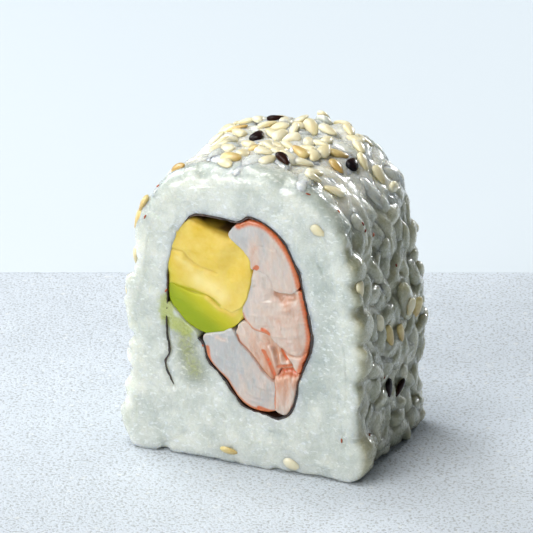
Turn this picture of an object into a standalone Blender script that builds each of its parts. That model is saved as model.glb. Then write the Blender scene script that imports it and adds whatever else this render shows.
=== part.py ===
"""Uramaki roll on a small stone board.

One slice of an inside-out sushi roll: a loaf of pressed rice around a sheet of seaweed, which wraps two
slices of avocado and the folded flesh of a prawn. It stands on its base, with one cut face turned towards
the front left, on a plain stone board.

Frame: metres, +Z up, origin at the middle of the board's underside. The roll is modelled in a frame of its
own, with x across the cut face, y from the front face to the back face and z up, and an empty places it.
"""

import math
from itertools import takewhile

import bmesh
import bpy
from mathutils import Vector, noise

MM = 0.001

# Board
BOARD_LENGTH = 104.0 * MM
BOARD_WIDTH = 104.0 * MM
BOARD_THICKNESS = 8.0 * MM
BOARD_EDGE_RADIUS = 1.2 * MM

# Roll: how it stands on the board
ROLL_TURN = math.radians(-22.5)
ROLL_FORWARD = 13.0 * MM
GAP = 0.3 * MM

# Rice loaf
LOAF_HEIGHT = 45.0 * MM
LOAF_DEPTH = 25.0 * MM
LOAF_LEFT_HALF = 18.3 * MM
LOAF_RIGHT_HALF = 17.5 * MM
LOAF_RIGHT_SPREAD = 1.5 * MM
LOAF_RIGHT_BELLY = 1.7 * MM
BELLY_HEIGHT = 19.0 * MM
BELLY_REACH = 9.0 * MM
LOAF_LEFT_LEAN = 0.065
LOAF_RIGHT_LEAN = 0.085
LOAF_SHOULDER = 27.0 * MM
LOAF_ARCH_POWER = 2.75
LOAF_FOOT_RADIUS = 2.6 * MM
LOAF_FRONT_RIM = 1.9 * MM
LOAF_BACK_RIM = 3.0 * MM
LUMP_HEIGHT = 1.1 * MM
LUMP_SIZE = 4.6 * MM
ARCH_STEPS = 34
SIDE_STEPS = 11
FOOT_STEPS = 4
BASE_STEPS = 8
RIM_STEPS = 4
BODY_STEPS = 8
FACE_RINGS = (0.93, 0.84)
SPREAD_START = -10.0 * MM
SPREAD_LENGTH = 16.0 * MM

# Fillings: a slow twist and drift from the front face to the back face
TWIST = math.radians(5.0)
DRIFT = Vector((0.5, 0.4)) * MM
FILLING_CENTRE = Vector((-0.5, 22.5)) * MM
SEAWEED_THICKNESS = 0.5 * MM
SEAWEED_SETBACK = 0.2 * MM
AVOCADO_SETBACK = 0.5 * MM
PRAWN_SETBACK = 0.1 * MM
FILLING_RIM = 0.4 * MM
FILLING_INSET = 0.7 * GAP
FILLING_CLEARANCE = 0.5 * SEAWEED_THICKNESS + 1.2 * GAP
CHANNEL_CLEARANCE = 0.5 * SEAWEED_THICKNESS + GAP
CHANNEL_OVERRUN = 2.0 * MM
CHANNEL_DEPTH_STEPS = 6
SEAWEED_DEPTH_STEPS = 4
FILLING_DEPTH_STEPS = 3
RIM_ROWS = 2
SEAWEED_SAMPLES = 3
FILLING_SAMPLES = 2
CLEARANCE_SAMPLES = 12

# The seaweed's line across the cut face, in millimetres: from the tip of its free tail at the lower left,
# up the left side, over the top, down the right side and back along the bottom to its inner end.
SEAWEED_LINE = (
    (-10.4, 10.8), (-11.1, 14.2), (-11.0, 18.1), (-11.3, 23.3), (-11.0, 28.8), (-9.1, 33.9), (-6.6, 36.1),
    (-1.4, 36.6), (1.4, 37.2), (5.1, 35.8), (8.0, 32.4), (9.9, 26.9), (10.7, 22.2), (9.9, 17.4),
    (8.7, 13.5), (7.7, 9.6), (4.6, 8.1), (0.7, 8.9), (-1.7, 11.4), (-4.6, 14.7), (-6.8, 18.0),
)

# Seams that two neighbouring fillings share, in millimetres across the cut face
SEAM_AVOCADO_SLICES = ((-10.5, 25.5), (-8.3, 25.1), (-6.2, 24.8), (-4.0, 23.9), (-1.9, 23.6), (0.4, 24.1))
SEAM_AVOCADO_PRAWN_TOP = ((-1.4, 33.3), (0.0, 31.9), (1.1, 30.7))
SEAM_AVOCADO_PRAWN_MIDDLE = ((1.2, 29.0), (1.0, 26.8), (0.5, 24.9))
SEAM_AVOCADO_PRAWN_FOLD = ((0.3, 22.9), (-0.6, 21.5))
SEAM_PRAWN_TOP_MIDDLE = ((2.2, 30.0), (3.4, 29.3), (4.4, 28.4), (5.3, 27.2), (7.1, 27.1))
SEAM_PRAWN_MIDDLE_FOLD = ((0.6, 22.2), (1.3, 21.4), (2.6, 20.8), (4.1, 20.2), (5.2, 19.5), (6.2, 18.3),
                          (7.3, 16.7))
SEAM_PRAWN_FOLD_LOWER = ((-0.6, 18.5), (0.4, 17.5), (1.7, 16.2), (3.1, 14.6), (4.3, 13.7))
SEAM_PRAWN_LOWER_TIP = ((5.1, 12.9), (5.1, 10.9), (5.1, 9.3))

# Free edges of the fillings, in millimetres across the cut face
AVOCADO_CROWN = ((-8.9, 33.5), (-7.8, 35.0), (-6.2, 35.2), (-4.3, 34.7), (-2.7, 34.0))
AVOCADO_LEFT = ((-10.6, 27.1), (-10.5, 29.2), (-9.8, 31.5))
AVOCADO_BELLY = ((-2.3, 20.3), (-3.9, 19.6), (-5.8, 19.5), (-7.7, 20.1), (-9.1, 21.3), (-10.1, 23.0))
PRAWN_TOP_BACK = ((-1.7, 34.4), (-0.4, 35.8), (1.2, 36.4), (3.1, 35.7), (4.6, 34.6), (5.9, 33.2), (7.0, 31.6),
                  (7.9, 29.7), (8.6, 27.6))
PRAWN_MIDDLE_BACK = ((8.8, 27.0), (9.3, 24.9), (9.8, 22.4), (9.8, 20.3), (9.5, 18.3), (9.2, 16.7),
                     (8.7, 15.4))
PRAWN_LOWER_BACK = ((3.0, 9.1), (1.2, 9.6), (-0.3, 10.8), (-1.5, 12.1), (-2.7, 13.4), (-3.9, 14.7),
                    (-4.9, 16.2), (-5.2, 17.4), (-4.9, 18.3), (-3.6, 18.8), (-1.8, 19.3))
PRAWN_TIP_BACK = ((5.9, 8.9), (6.8, 9.6), (7.4, 10.9), (7.8, 12.4), (8.2, 13.8), (8.0, 14.9), (7.1, 14.7),
                  (5.7, 14.1))
RICE_TONGUE = ((-7.2, 19.2), (-8.3, 19.9), (-9.6, 21.0), (-10.4, 22.3))


def remove_objects():
    """Empties the scene."""
    for item in list(bpy.data.objects):
        bpy.data.objects.remove(item, do_unlink=True)


def new_collection(name):
    """A collection of that name in the scene."""
    collection = bpy.data.collections.new(name)
    bpy.context.scene.collection.children.link(collection)
    return collection


def finish(name, colour, roughness):
    """A plain Principled material."""
    material = bpy.data.materials.new(name)
    material.use_nodes = True
    shader = material.node_tree.nodes["Principled BSDF"]
    shader.inputs["Base Color"].default_value = (*colour, 1.0)
    shader.inputs["Roughness"].default_value = roughness
    shader.inputs["Metallic"].default_value = 0.0
    return material


def in_metres(*runs):
    """Joins runs of millimetre points into one list of vectors in metres."""
    return [Vector(point) * MM for run in runs for point in run]


def spline(points, steps, closed):
    """Samples a Catmull-Rom curve through the points, with that many samples from each point to the next."""
    count = len(points)
    samples = []
    for index in range(count if closed else count - 1):
        if closed:
            before, start, end, after = (points[(index + k) % count] for k in (-1, 0, 1, 2))
        else:
            start, end = points[index], points[index + 1]
            before = points[index - 1] if index else 2 * start - end
            after = points[index + 2] if index + 2 < count else 2 * end - start
        for step in range(steps):
            t = step / steps
            samples.append(0.5 * (2 * start + (end - before) * t
                                  + (2 * before - 5 * start + 4 * end - after) * t ** 2
                                  + (3 * start - before - 3 * end + after) * t ** 3))
    if not closed:
        samples.append(points[-1])
    return samples


def left_normals(points, closed):
    """Unit normals on the left of the direction of travel."""
    count = len(points)
    normals = []
    for index in range(count):
        ahead = points[(index + 1) % count] if closed else points[min(index + 1, count - 1)]
        behind = points[index - 1] if closed else points[max(index - 1, 0)]
        along = (ahead - behind).normalized()
        normals.append(Vector((-along.y, along.x)))
    return normals


def shifted(points, distance, closed):
    """Moves each point that far to the left of the direction of travel."""
    return [p + n * distance for p, n in zip(points, left_normals(points, closed))]


def kept_off(points, line, distance):
    """Moves points that lie nearer than a distance to a line straight away from it."""
    moved = []
    for point in points:
        nearest = min(line, key=lambda other: (other - point).length)
        away = point - nearest
        if away.length < distance:
            inward = (FILLING_CENTRE - nearest).normalized()
            away = away if away.dot(inward) > 0 else inward
            point = nearest + away.normalized() * distance
        moved.append(point)
    return moved


def carried(point, depth):
    """Where a point of the filling's section lies at that depth: it turns and drifts towards the back."""
    share = 0.5 + depth / LOAF_DEPTH
    angle = TWIST * share
    arm = point - FILLING_CENTRE
    turned = Vector((arm.x * math.cos(angle) - arm.y * math.sin(angle),
                     arm.x * math.sin(angle) + arm.y * math.cos(angle)))
    place = FILLING_CENTRE + turned + DRIFT * share
    return Vector((place.x, depth, place.y))


def object_from(name, mesh, collection, material=None):
    """Puts a mesh into the collection as an object."""
    item = bpy.data.objects.new(name, mesh)
    collection.objects.link(item)
    if material:
        mesh.materials.append(material)
    return item


def lofted(name, rings, collection, material=None):
    """A closed body through rings of equally many points, with a flat face at each end."""
    bm = bmesh.new()
    rows = [[bm.verts.new(point) for point in ring] for ring in rings]
    for row, following in zip(rows, rows[1:]):
        for index in range(len(row)):
            after = (index + 1) % len(row)
            bm.faces.new((row[index], row[after], following[after], following[index]))
    bm.faces.new(rows[0])
    bm.faces.new(rows[-1])
    bmesh.ops.recalc_face_normals(bm, faces=bm.faces)
    mesh = bpy.data.meshes.new(name)
    bm.to_mesh(mesh)
    bm.free()
    mesh.shade_smooth()
    mesh.set_sharp_from_angle(angle=math.radians(40))
    return object_from(name, mesh, collection, material)


def rim_rows(radius, half_length, steps):
    """Pairs of inset and depth that round one end's rim, from the flat face inwards."""
    rows = []
    for step in range(steps + 1):
        angle = 0.5 * math.pi * step / steps
        rows.append((radius * (1 - math.sin(angle)), -half_length + radius * (1 - math.cos(angle))))
    return rows


def loaf_side(half, lean, inset):
    """The left half of a loaf's section with that half width and lean, from the foot up to the crest."""
    half -= inset
    top = LOAF_HEIGHT - inset
    floor = GAP + inset
    shoulder_half = half - lean * LOAF_SHOULDER
    outline = []
    for step in range(FOOT_STEPS):
        angle = 0.5 * math.pi * step / FOOT_STEPS
        outline.append(Vector((-half + LOAF_FOOT_RADIUS * (1 - math.sin(angle)),
                               floor + LOAF_FOOT_RADIUS * (1 - math.cos(angle)))))
    for step in range(SIDE_STEPS):
        height = floor + LOAF_FOOT_RADIUS + (LOAF_SHOULDER - floor - LOAF_FOOT_RADIUS) * step / SIDE_STEPS
        outline.append(Vector((-half + lean * height, height)))
    for step in range(ARCH_STEPS // 2 + 1):
        angle = 0.5 * math.pi * step / (ARCH_STEPS // 2)
        across = -shoulder_half * math.cos(angle) ** (2 / LOAF_ARCH_POWER)
        rise = (top - LOAF_SHOULDER) * math.sin(angle) ** (2 / LOAF_ARCH_POWER)
        outline.append(Vector((across, LOAF_SHOULDER + rise)))
    return outline


def eased(share):
    """A smooth step from 0 to 1."""
    share = min(1.0, max(0.0, share))
    return share * share * (3 - 2 * share)


def loaf_outline(inset, depth):
    """The loaf's section at that depth, from the left foot over the arch to the right foot and back.

    The right side spreads towards the back, and bellies out at half its height there.
    """
    spread = eased((depth - SPREAD_START) / SPREAD_LENGTH)
    left = loaf_side(LOAF_LEFT_HALF, LOAF_LEFT_LEAN, inset)
    right = loaf_side(LOAF_RIGHT_HALF + LOAF_RIGHT_SPREAD * spread, LOAF_RIGHT_LEAN, inset)
    for point in right:
        point.x -= LOAF_RIGHT_BELLY * spread * math.exp(-((point.y - BELLY_HEIGHT) / BELLY_REACH) ** 2)
    mirrored = [Vector((-point.x, point.y)) for point in right[-2::-1]]
    start, end = mirrored[-1], left[0]
    base = [start.lerp(end, step / BASE_STEPS) for step in range(1, BASE_STEPS)]
    return left + mirrored + base


def lumpy(outline, depth):
    """A ring of the loaf at that depth, raised and sunk by the lumps of the pressed grains."""
    ring = []
    for point, normal in zip(outline, left_normals(outline, True)):
        place = Vector((point.x, depth, point.y))
        fade = min(1.0, max(0.0, (point.y - GAP) / LOAF_FOOT_RADIUS))
        height = LUMP_HEIGHT * fade * noise.noise(place / LUMP_SIZE)
        ring.append(place + Vector((normal.x, 0, normal.y)) * height)
    return ring


def loaf_rings():
    """All rings of the loaf, from the front face to the back face."""
    half_depth = 0.5 * LOAF_DEPTH
    front_rim = rim_rows(LOAF_FRONT_RIM, half_depth, RIM_STEPS)
    back_rim = [(inset, -depth) for inset, depth in rim_rows(LOAF_BACK_RIM, half_depth, RIM_STEPS)[::-1]]
    start, end = front_rim[-1][1], back_rim[0][1]
    middle = [(0.0, start + (end - start) * step / BODY_STEPS) for step in range(1, BODY_STEPS)]
    rows = front_rim + middle + back_rim
    rings = [lumpy(loaf_outline(inset, depth), depth) for inset, depth in rows]
    centre = Vector((0, 0, 0.5 * LOAF_HEIGHT))
    fronts, backs = [], []
    for scale in FACE_RINGS:
        for end, rows_of_face, depth in ((rings[0], fronts, -half_depth), (rings[-1], backs, half_depth)):
            ring = [centre + (point - centre) * scale for point in end]
            rows_of_face.append([Vector((point.x, depth, point.z)) for point in ring])
    return fronts[::-1] + rings + backs


def seaweed_line(samples=SEAWEED_SAMPLES):
    """The seaweed's line across the section, in metres."""
    return spline(in_metres(SEAWEED_LINE), samples, closed=False)


def channel_outline():
    """What the rice leaves free: the wrapped filling, and a slot for the seaweed's free tail."""
    line = seaweed_line()
    outer = shifted(line, CHANNEL_CLEARANCE, closed=False)
    inner = shifted(line, -CHANNEL_CLEARANCE, closed=False)
    tongue = in_metres(RICE_TONGUE)
    tail = list(takewhile(lambda point: point.y < tongue[-1].y, inner))
    tail_tip = line[0] + (line[0] - line[1]).normalized() * CHANNEL_CLEARANCE
    inner_end = line[-1] + (line[-1] - line[-2]).normalized() * CHANNEL_CLEARANCE
    return outer + [inner_end] + tongue + tail[::-1] + [tail_tip]


def cut_channel(rice, cutters):
    """Cuts the filling's channel through the rice."""
    reach = 0.5 * LOAF_DEPTH + CHANNEL_OVERRUN
    depths = [reach * (2 * step / CHANNEL_DEPTH_STEPS - 1) for step in range(CHANNEL_DEPTH_STEPS + 1)]
    outline = channel_outline()
    cutter = lofted("channel_cutter", [[carried(p, d) for p in outline] for d in depths], cutters)
    cutter.hide_render = True
    cutter.display_type = "WIRE"
    cutter.parent = rice.parent
    cut = rice.modifiers.new("channel", "BOOLEAN")
    cut.operation = "DIFFERENCE"
    cut.solver = "EXACT"
    cut.object = cutter


def make_board(collection):
    """The stone board, with softly rounded edges."""
    mesh = bpy.data.meshes.new("board")
    bm = bmesh.new()
    bmesh.ops.create_cube(bm, size=1.0)
    bmesh.ops.scale(bm, vec=(BOARD_LENGTH, BOARD_WIDTH, BOARD_THICKNESS), verts=bm.verts)
    bmesh.ops.translate(bm, vec=(0, 0, 0.5 * BOARD_THICKNESS), verts=bm.verts)
    bm.to_mesh(mesh)
    bm.free()
    board = object_from("board", mesh, collection, finish("stone", (0.42, 0.45, 0.48), 0.75))
    bevel = board.modifiers.new("edges", "BEVEL")
    bevel.width = BOARD_EDGE_RADIUS
    bevel.segments = 3
    bevel.limit_method = "ANGLE"
    return board


def make_rice(collection, cutters, place):
    """The loaf of rice, out to its uneven outline, with the filling's channel through it."""
    rice = lofted("rice", loaf_rings(), collection, finish("rice", (0.72, 0.75, 0.69), 0.45))
    rice.parent = place
    cut_channel(rice, cutters)
    return rice


def make_seaweed(collection, place):
    """The sheet of seaweed: an open surface along its line, given its thickness."""
    line = seaweed_line()
    half_depth = 0.5 * LOAF_DEPTH - SEAWEED_SETBACK
    bm = bmesh.new()
    rows = []
    for step in range(SEAWEED_DEPTH_STEPS + 1):
        depth = half_depth * (2 * step / SEAWEED_DEPTH_STEPS - 1)
        rows.append([bm.verts.new(carried(point, depth)) for point in line])
    for row, following in zip(rows, rows[1:]):
        for index in range(len(row) - 1):
            bm.faces.new((row[index], row[index + 1], following[index + 1], following[index]))
    mesh = bpy.data.meshes.new("nori")
    bm.to_mesh(mesh)
    bm.free()
    mesh.shade_smooth()
    nori = object_from("nori", mesh, collection, finish("seaweed", (0.012, 0.016, 0.012), 0.4))
    nori.parent = place
    wall = nori.modifiers.new("wall", "SOLIDIFY")
    wall.thickness = SEAWEED_THICKNESS
    wall.offset = 0.0
    wall.use_even_offset = True
    return nori


def make_filling(name, runs, setback, collection, place, material):
    """A strip of filling that runs through the roll, with the section that the runs of points enclose."""
    outline = spline(in_metres(*runs), FILLING_SAMPLES, closed=True)
    area = sum(a.cross(b) for a, b in zip(outline, outline[1:] + outline[:1]))
    if area > 0:
        outline.reverse()
    outline = shifted(outline, -FILLING_INSET, closed=True)
    outline = kept_off(outline, seaweed_line(CLEARANCE_SAMPLES), FILLING_CLEARANCE)
    half_depth = 0.5 * LOAF_DEPTH - setback
    rim = rim_rows(FILLING_RIM, half_depth, RIM_ROWS)
    barrel = 2 * (half_depth - FILLING_RIM)
    step_depth = barrel / FILLING_DEPTH_STEPS
    middle = [(0.0, step * step_depth - 0.5 * barrel) for step in range(1, FILLING_DEPTH_STEPS)]
    rows = rim + middle + [(inset, -depth) for inset, depth in reversed(rim)]
    rings = [[carried(p, depth) for p in shifted(outline, -inset, closed=True)] for inset, depth in rows]
    filling = lofted(name, rings, collection, material)
    filling.parent = place
    return filling


def make_avocado(collection, place):
    """The two slices of avocado, the yellow one on the green one."""
    make_filling("avocado_upper",
                 (AVOCADO_CROWN, SEAM_AVOCADO_PRAWN_TOP, SEAM_AVOCADO_PRAWN_MIDDLE,
                  SEAM_AVOCADO_SLICES[::-1], AVOCADO_LEFT),
                 AVOCADO_SETBACK, collection, place, finish("avocado_yellow", (0.80, 0.62, 0.16), 0.4))
    make_filling("avocado_lower",
                 (SEAM_AVOCADO_SLICES, SEAM_AVOCADO_PRAWN_FOLD, AVOCADO_BELLY),
                 AVOCADO_SETBACK, collection, place, finish("avocado_green", (0.50, 0.62, 0.10), 0.4))


def make_prawn(collection, place):
    """The prawn's flesh, folded into five strips."""
    flesh = finish("prawn_flesh", (0.80, 0.58, 0.52), 0.35)
    strips = {
        "prawn_top": (PRAWN_TOP_BACK, SEAM_PRAWN_TOP_MIDDLE[::-1], SEAM_AVOCADO_PRAWN_TOP[::-1]),
        "prawn_middle": (SEAM_PRAWN_TOP_MIDDLE, PRAWN_MIDDLE_BACK, SEAM_PRAWN_MIDDLE_FOLD[::-1],
                         SEAM_AVOCADO_PRAWN_MIDDLE[::-1]),
        "prawn_fold": (SEAM_PRAWN_MIDDLE_FOLD, ((8.3, 15.5), (7.2, 15.2), (5.6, 14.6)),
                       SEAM_PRAWN_FOLD_LOWER[::-1], ((-0.8, 20.6),)),
        "prawn_lower": (SEAM_PRAWN_FOLD_LOWER, SEAM_PRAWN_LOWER_TIP, PRAWN_LOWER_BACK),
        "prawn_tip": (SEAM_PRAWN_LOWER_TIP, PRAWN_TIP_BACK),
    }
    for name, runs in strips.items():
        make_filling(name, runs, PRAWN_SETBACK, collection, place, flesh)


def main():
    """Builds the board and the roll."""
    remove_objects()
    parts = new_collection("uramaki_roll")
    cutters = new_collection("cutters")
    place = bpy.data.objects.new("roll_place", None)
    parts.objects.link(place)
    place.location = (0, -ROLL_FORWARD, BOARD_THICKNESS)
    place.rotation_euler = (0, 0, ROLL_TURN)
    make_board(parts)
    make_rice(parts, cutters, place)
    make_seaweed(parts, place)
    make_avocado(parts, place)
    make_prawn(parts, place)


main()
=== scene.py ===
"""Looks of an uramaki roll on its stone board.

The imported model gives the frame: a square stone board and, standing on it, one slice of an inside-out sushi
roll. This script dresses it with pressed and loose rice grains, a wrinkled sheet of seaweed, two slices of
avocado, five strips of prawn, and sesame seeds of three colours.

Shapes are worked out in the roll's own frame, in millimetres: x across the cut face to the right, y from the
front face to the back, z up from the board's top. Every surface is a numpy array from its formula to its
mesh.
"""

import logging
import math
from dataclasses import dataclass, field
from enum import Enum

import bpy
import numpy as np
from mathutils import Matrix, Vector
from mathutils.bvhtree import BVHTree
from mathutils.geometry import delaunay_2d_cdt
from mathutils.kdtree import KDTree


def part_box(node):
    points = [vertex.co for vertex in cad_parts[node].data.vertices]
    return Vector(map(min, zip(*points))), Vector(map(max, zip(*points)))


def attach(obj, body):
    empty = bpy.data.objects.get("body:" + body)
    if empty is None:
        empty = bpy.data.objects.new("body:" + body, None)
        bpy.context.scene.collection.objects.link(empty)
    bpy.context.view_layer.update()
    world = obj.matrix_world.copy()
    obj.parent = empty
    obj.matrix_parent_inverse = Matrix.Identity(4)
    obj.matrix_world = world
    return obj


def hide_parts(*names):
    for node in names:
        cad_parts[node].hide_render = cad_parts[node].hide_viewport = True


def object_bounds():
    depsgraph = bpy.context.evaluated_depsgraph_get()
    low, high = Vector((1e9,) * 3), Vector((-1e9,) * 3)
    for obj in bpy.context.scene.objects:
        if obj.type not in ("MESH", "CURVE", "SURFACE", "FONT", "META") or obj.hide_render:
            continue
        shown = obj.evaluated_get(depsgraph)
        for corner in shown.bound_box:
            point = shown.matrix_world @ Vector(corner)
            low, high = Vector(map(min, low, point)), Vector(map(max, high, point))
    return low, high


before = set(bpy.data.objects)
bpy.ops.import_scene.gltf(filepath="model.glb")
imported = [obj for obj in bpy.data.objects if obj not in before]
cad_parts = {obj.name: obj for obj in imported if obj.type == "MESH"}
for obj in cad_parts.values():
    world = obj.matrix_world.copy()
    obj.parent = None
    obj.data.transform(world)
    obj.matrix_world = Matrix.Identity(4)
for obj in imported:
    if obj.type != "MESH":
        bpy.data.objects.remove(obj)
CAD_BOX = [list(corner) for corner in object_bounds()]
LOG = logging.getLogger("uramaki")

MM = 0.001
BODY = "root"
BOARD_LOW, BOARD_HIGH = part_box("board")
BOARD_TOP = BOARD_HIGH.z
# How the roll stands on the board: turned about the upright axis, and moved towards the camera.
ROLL_TURN = math.radians(-22.5)
ROLL_FORWARD = 13.0
# The highest that anything may reach above the board's top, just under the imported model's own top.
HIGHEST = (CAD_BOX[1][2] - BOARD_TOP) / MM - 0.05

Array = np.ndarray
Triple = tuple[float, float, float]
Place = Triple
Colour = Triple
Points = tuple[tuple[float, ...], ...]
Material = bpy.types.Material
Node = bpy.types.Node
Socket = bpy.types.NodeSocket
Tree = bpy.types.NodeTree


# ---- curves and noise


def to_row(points: Array) -> Array:
    """Turns points about the upright axis, moves them to the roll's place and scales them to metres.

    Args:
        points: positions in the roll's frame, in millimetres, shape (..., 3).

    Returns:
        The same positions in the row frame, in metres.
    """
    cosine, sine = math.cos(ROLL_TURN), math.sin(ROLL_TURN)
    x, y, z = points[..., 0], points[..., 1], points[..., 2]
    placed = (x * cosine - y * sine, x * sine + y * cosine - ROLL_FORWARD, z + BOARD_TOP / MM)
    return np.stack(placed, axis=-1) * MM


CURVE_STEPS = 20


def curve_through(points: Points | Array, samples: int, closed: bool = False) -> Array:
    """Samples a Catmull-Rom curve evenly by its length in the first two coordinates.

    The curve between two points is the cubic whose slope at each point is half the step from the point before
    to the point after. It is sampled densely, and then read again at even steps of its length.

    Args:
        points: the points to pass through, in order, with two coordinates or more.
        samples: how many samples to return.
        closed: whether the last point joins the first.

    Returns:
        An array of shape (samples, coordinates).
    """
    knots = np.asarray(points, float)
    if closed:
        before, after, beyond = np.roll(knots, 1, 0), np.roll(knots, -1, 0), np.roll(knots, -2, 0)
    else:
        padded = np.vstack([2 * knots[0] - knots[1], knots, 2 * knots[-1] - knots[-2]])
        before, knots, after, beyond = padded[:-3], padded[1:-2], padded[2:-1], padded[3:]
    t = np.linspace(0, 1, CURVE_STEPS, endpoint=False)[None, :, None]
    a, b, c, d = (run[:, None, :] for run in (before, knots, after, beyond))
    dense = 0.5 * (2 * b + (c - a) * t + (2 * a - 5 * b + 4 * c - d) * t**2 + (3 * b - a - 3 * c + d) * t**3)
    dense = dense.reshape(-1, knots.shape[1])
    dense = np.vstack([dense, dense[:1] if closed else after[-1:]])
    length = np.concatenate([[0], np.cumsum(np.linalg.norm(np.diff(dense[:, :2], axis=0), axis=1))])
    wanted = np.linspace(0, length[-1], samples, endpoint=not closed)
    return np.stack([np.interp(wanted, length, column) for column in dense.T], axis=1)


def left_normals(line: Array) -> Array:
    """Unit normals on the left of the direction of travel along an open line of points."""
    along = np.gradient(line[:, :2], axis=0)
    return unit(np.stack([-along[:, 1], along[:, 0]], axis=1))


def distances(points: Array, line: Array) -> Array:
    """Distance from each point to the nearest sample of a line."""
    return np.sqrt(((points[:, None, :] - line[None, :, :2]) ** 2).sum(-1)).min(1)


def tree_of(points: Array) -> KDTree:
    """Makes a search tree.

    Args:
        points: the points, shape (n, 3).

    Returns:
        The tree, which gives a point's number.
    """
    tree = KDTree(len(points))
    for index, point in enumerate(points.tolist()):
        tree.insert(point, index)
    tree.balance()
    return tree


def eased(share: Array | float) -> Array:
    """A smooth step: 3 s^2 - 2 s^3 of the share held between 0 and 1."""
    share = np.clip(share, 0, 1)
    return share * share * (3 - 2 * share)


def unit(vectors: Array) -> Array:
    """Vectors scaled to length 1."""
    return vectors / np.maximum(np.linalg.norm(vectors, axis=-1, keepdims=True), 1e-9)


class ValueNoise:
    """Smooth random values in space, from a repeating lattice of random numbers."""

    size = 32

    def __init__(self, seed: int) -> None:
        """Fills the lattice with seeded numbers from -1 to 1."""
        self.lattice = np.random.default_rng(seed).uniform(-1, 1, (self.size,) * 3)

    def at(self, points: Array, wavelength: float | tuple[float, float, float], octaves: int = 1) -> Array:
        """Reads the noise: values at a cell's eight corners, mixed by smooth steps, halved each octave.

        Args:
            points: positions, shape (..., 3).
            wavelength: the size of one lattice cell, or one size for each axis.
            octaves: how many layers, each half as large and half as strong as the one before.

        Returns:
            Values from about -1 to 1, shape (...).
        """
        total, weight = np.zeros(points.shape[:-1]), 0.0
        for octave in range(octaves):
            scaled = points / np.asarray(wavelength) * 2**octave + 7.31 * octave
            cell = np.floor(scaled).astype(int)
            share = eased(scaled - cell)
            for corner in np.ndindex(2, 2, 2):
                index = (cell + corner) % self.size
                part = np.prod(np.where(corner, share, 1 - share), axis=-1)
                total += part * self.lattice[index[..., 0], index[..., 1], index[..., 2]] / 2**octave
            weight += 1 / 2**octave
        return total / weight


NOISE = ValueNoise(5)


# ---- the section across the cut face

# The seaweed's line and its thickness, from the tip of its free tail at the lower left, up the left side,
# over the top, down the right side and back along the bottom to its inner end.
SEAWEED_LINE: Points = (
    (-10.3, 10.7, 0.14), (-10.8, 11.9, 0.30), (-11.4, 13.1, 0.28), (-11.5, 14.1, 0.30), (-11.0, 15.2, 0.22),
    (-10.9, 16.3, 0.24), (-11.1, 17.3, 0.22), (-11.3, 18.4, 0.26), (-11.3, 20.5, 0.20), (-11.1, 23.0, 0.20),
    (-11.05, 24.5, 0.26), (-11.0, 26.2, 0.24), (-11.0, 28.0, 0.16), (-10.6, 30.0, 0.08), (-10.25, 31.4, 0.12),
    (-9.8, 32.6, 0.08), (-9.4, 33.6, 0.12), (-8.5, 35.0, 0.12), (-7.7, 35.9, 0.26), (-6.6, 36.5, 0.36),
    (-4.6, 36.5, 0.34), (-2.6, 36.4, 0.34), (-0.7, 36.2, 0.40), (0.3, 36.6, 0.46), (1.1, 37.1, 0.50),
    (2.5, 36.9, 0.36), (3.9, 36.3, 0.30), (5.3, 35.3, 0.34), (6.4, 34.1, 0.40), (7.2, 32.7, 0.30),
    (7.8, 31.4, 0.36), (8.5, 29.9, 0.56), (8.9, 28.2, 0.34), (9.4, 26.0, 0.42), (9.85, 24.0, 0.62),
    (10.2, 22.2, 0.66), (10.4, 20.6, 0.62), (10.1, 18.6, 0.46), (9.3, 16.5, 0.42), (8.8, 15.0, 0.36),
    (8.4, 13.6, 0.22), (8.2, 12.2, 0.42), (7.8, 10.6, 0.50), (7.1, 9.2, 0.56), (6.2, 8.5, 0.50),
    (5.2, 8.2, 0.54), (4.2, 8.4, 0.34), (2.9, 8.6, 0.20), (1.3, 8.9, 0.22), (0.0, 9.5, 0.50),
    (-0.6, 10.3, 0.34), (-1.5, 11.4, 0.40), (-2.3, 12.6, 0.50), (-3.6, 13.8, 0.24), (-4.5, 14.7, 0.42),
    (-5.1, 15.6, 0.50), (-5.3, 16.6, 0.36), (-5.5, 17.5, 0.56), (-6.4, 18.5, 0.42),
)
# Where the rice comes in between the two ends of the seaweed's wrap.
RICE_TONGUE: Points = ((-6.6, 18.9), (-7.4, 19.7), (-8.5, 20.4), (-9.5, 21.4), (-10.6, 22.9))

# The lines along which two strips of the filling meet. Each strip's outline is made of its seams and its own
# stretches beside the seaweed.
SEAM_SLICES: Points = ((-10.85, 25.8), (-9.7, 25.5), (-8.6, 25.2), (-7.4, 24.8), (-6.2, 24.7), (-5.2, 24.7),
                       (-4.4, 24.2), (-3.4, 23.4), (-2.4, 23.2), (-1.5, 22.9), (-0.7, 23.3), (0.1, 23.9))
SEAM_AVOCADO_TOP: Points = ((-1.75, 34.0), (-0.5, 32.9), (0.7, 31.8), (1.3, 30.9), (1.4, 29.9))
SEAM_AVOCADO_MIDDLE: Points = ((1.5, 28.2), (1.1, 26.4), (0.7, 25.0))
SEAM_AVOCADO_FOLD: Points = ((0.2, 22.7), (-0.6, 21.5))
SEAM_TOP_MIDDLE: Points = ((2.0, 29.7), (2.9, 29.5), (3.9, 29.0), (4.5, 28.3), (4.8, 27.3), (5.4, 27.0),
                           (6.4, 27.0), (7.5, 27.1))
SEAM_MIDDLE_FOLD: Points = ((1.1, 21.4), (1.9, 20.8), (2.9, 20.6), (4.1, 20.3), (5.0, 19.5), (5.7, 18.8),
                            (6.4, 18.1), (7.0, 17.3), (7.6, 16.6))
SEAM_FOLD_LOWER: Points = ((-0.8, 19.3), (-0.4, 18.5), (1.0, 17.3), (2.1, 16.0), (3.1, 14.7), (4.3, 13.7))
SEAM_LOWER_TIP: Points = ((4.9, 13.0), (4.9, 11.8), (4.8, 10.5), (5.0, 9.3))

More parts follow.
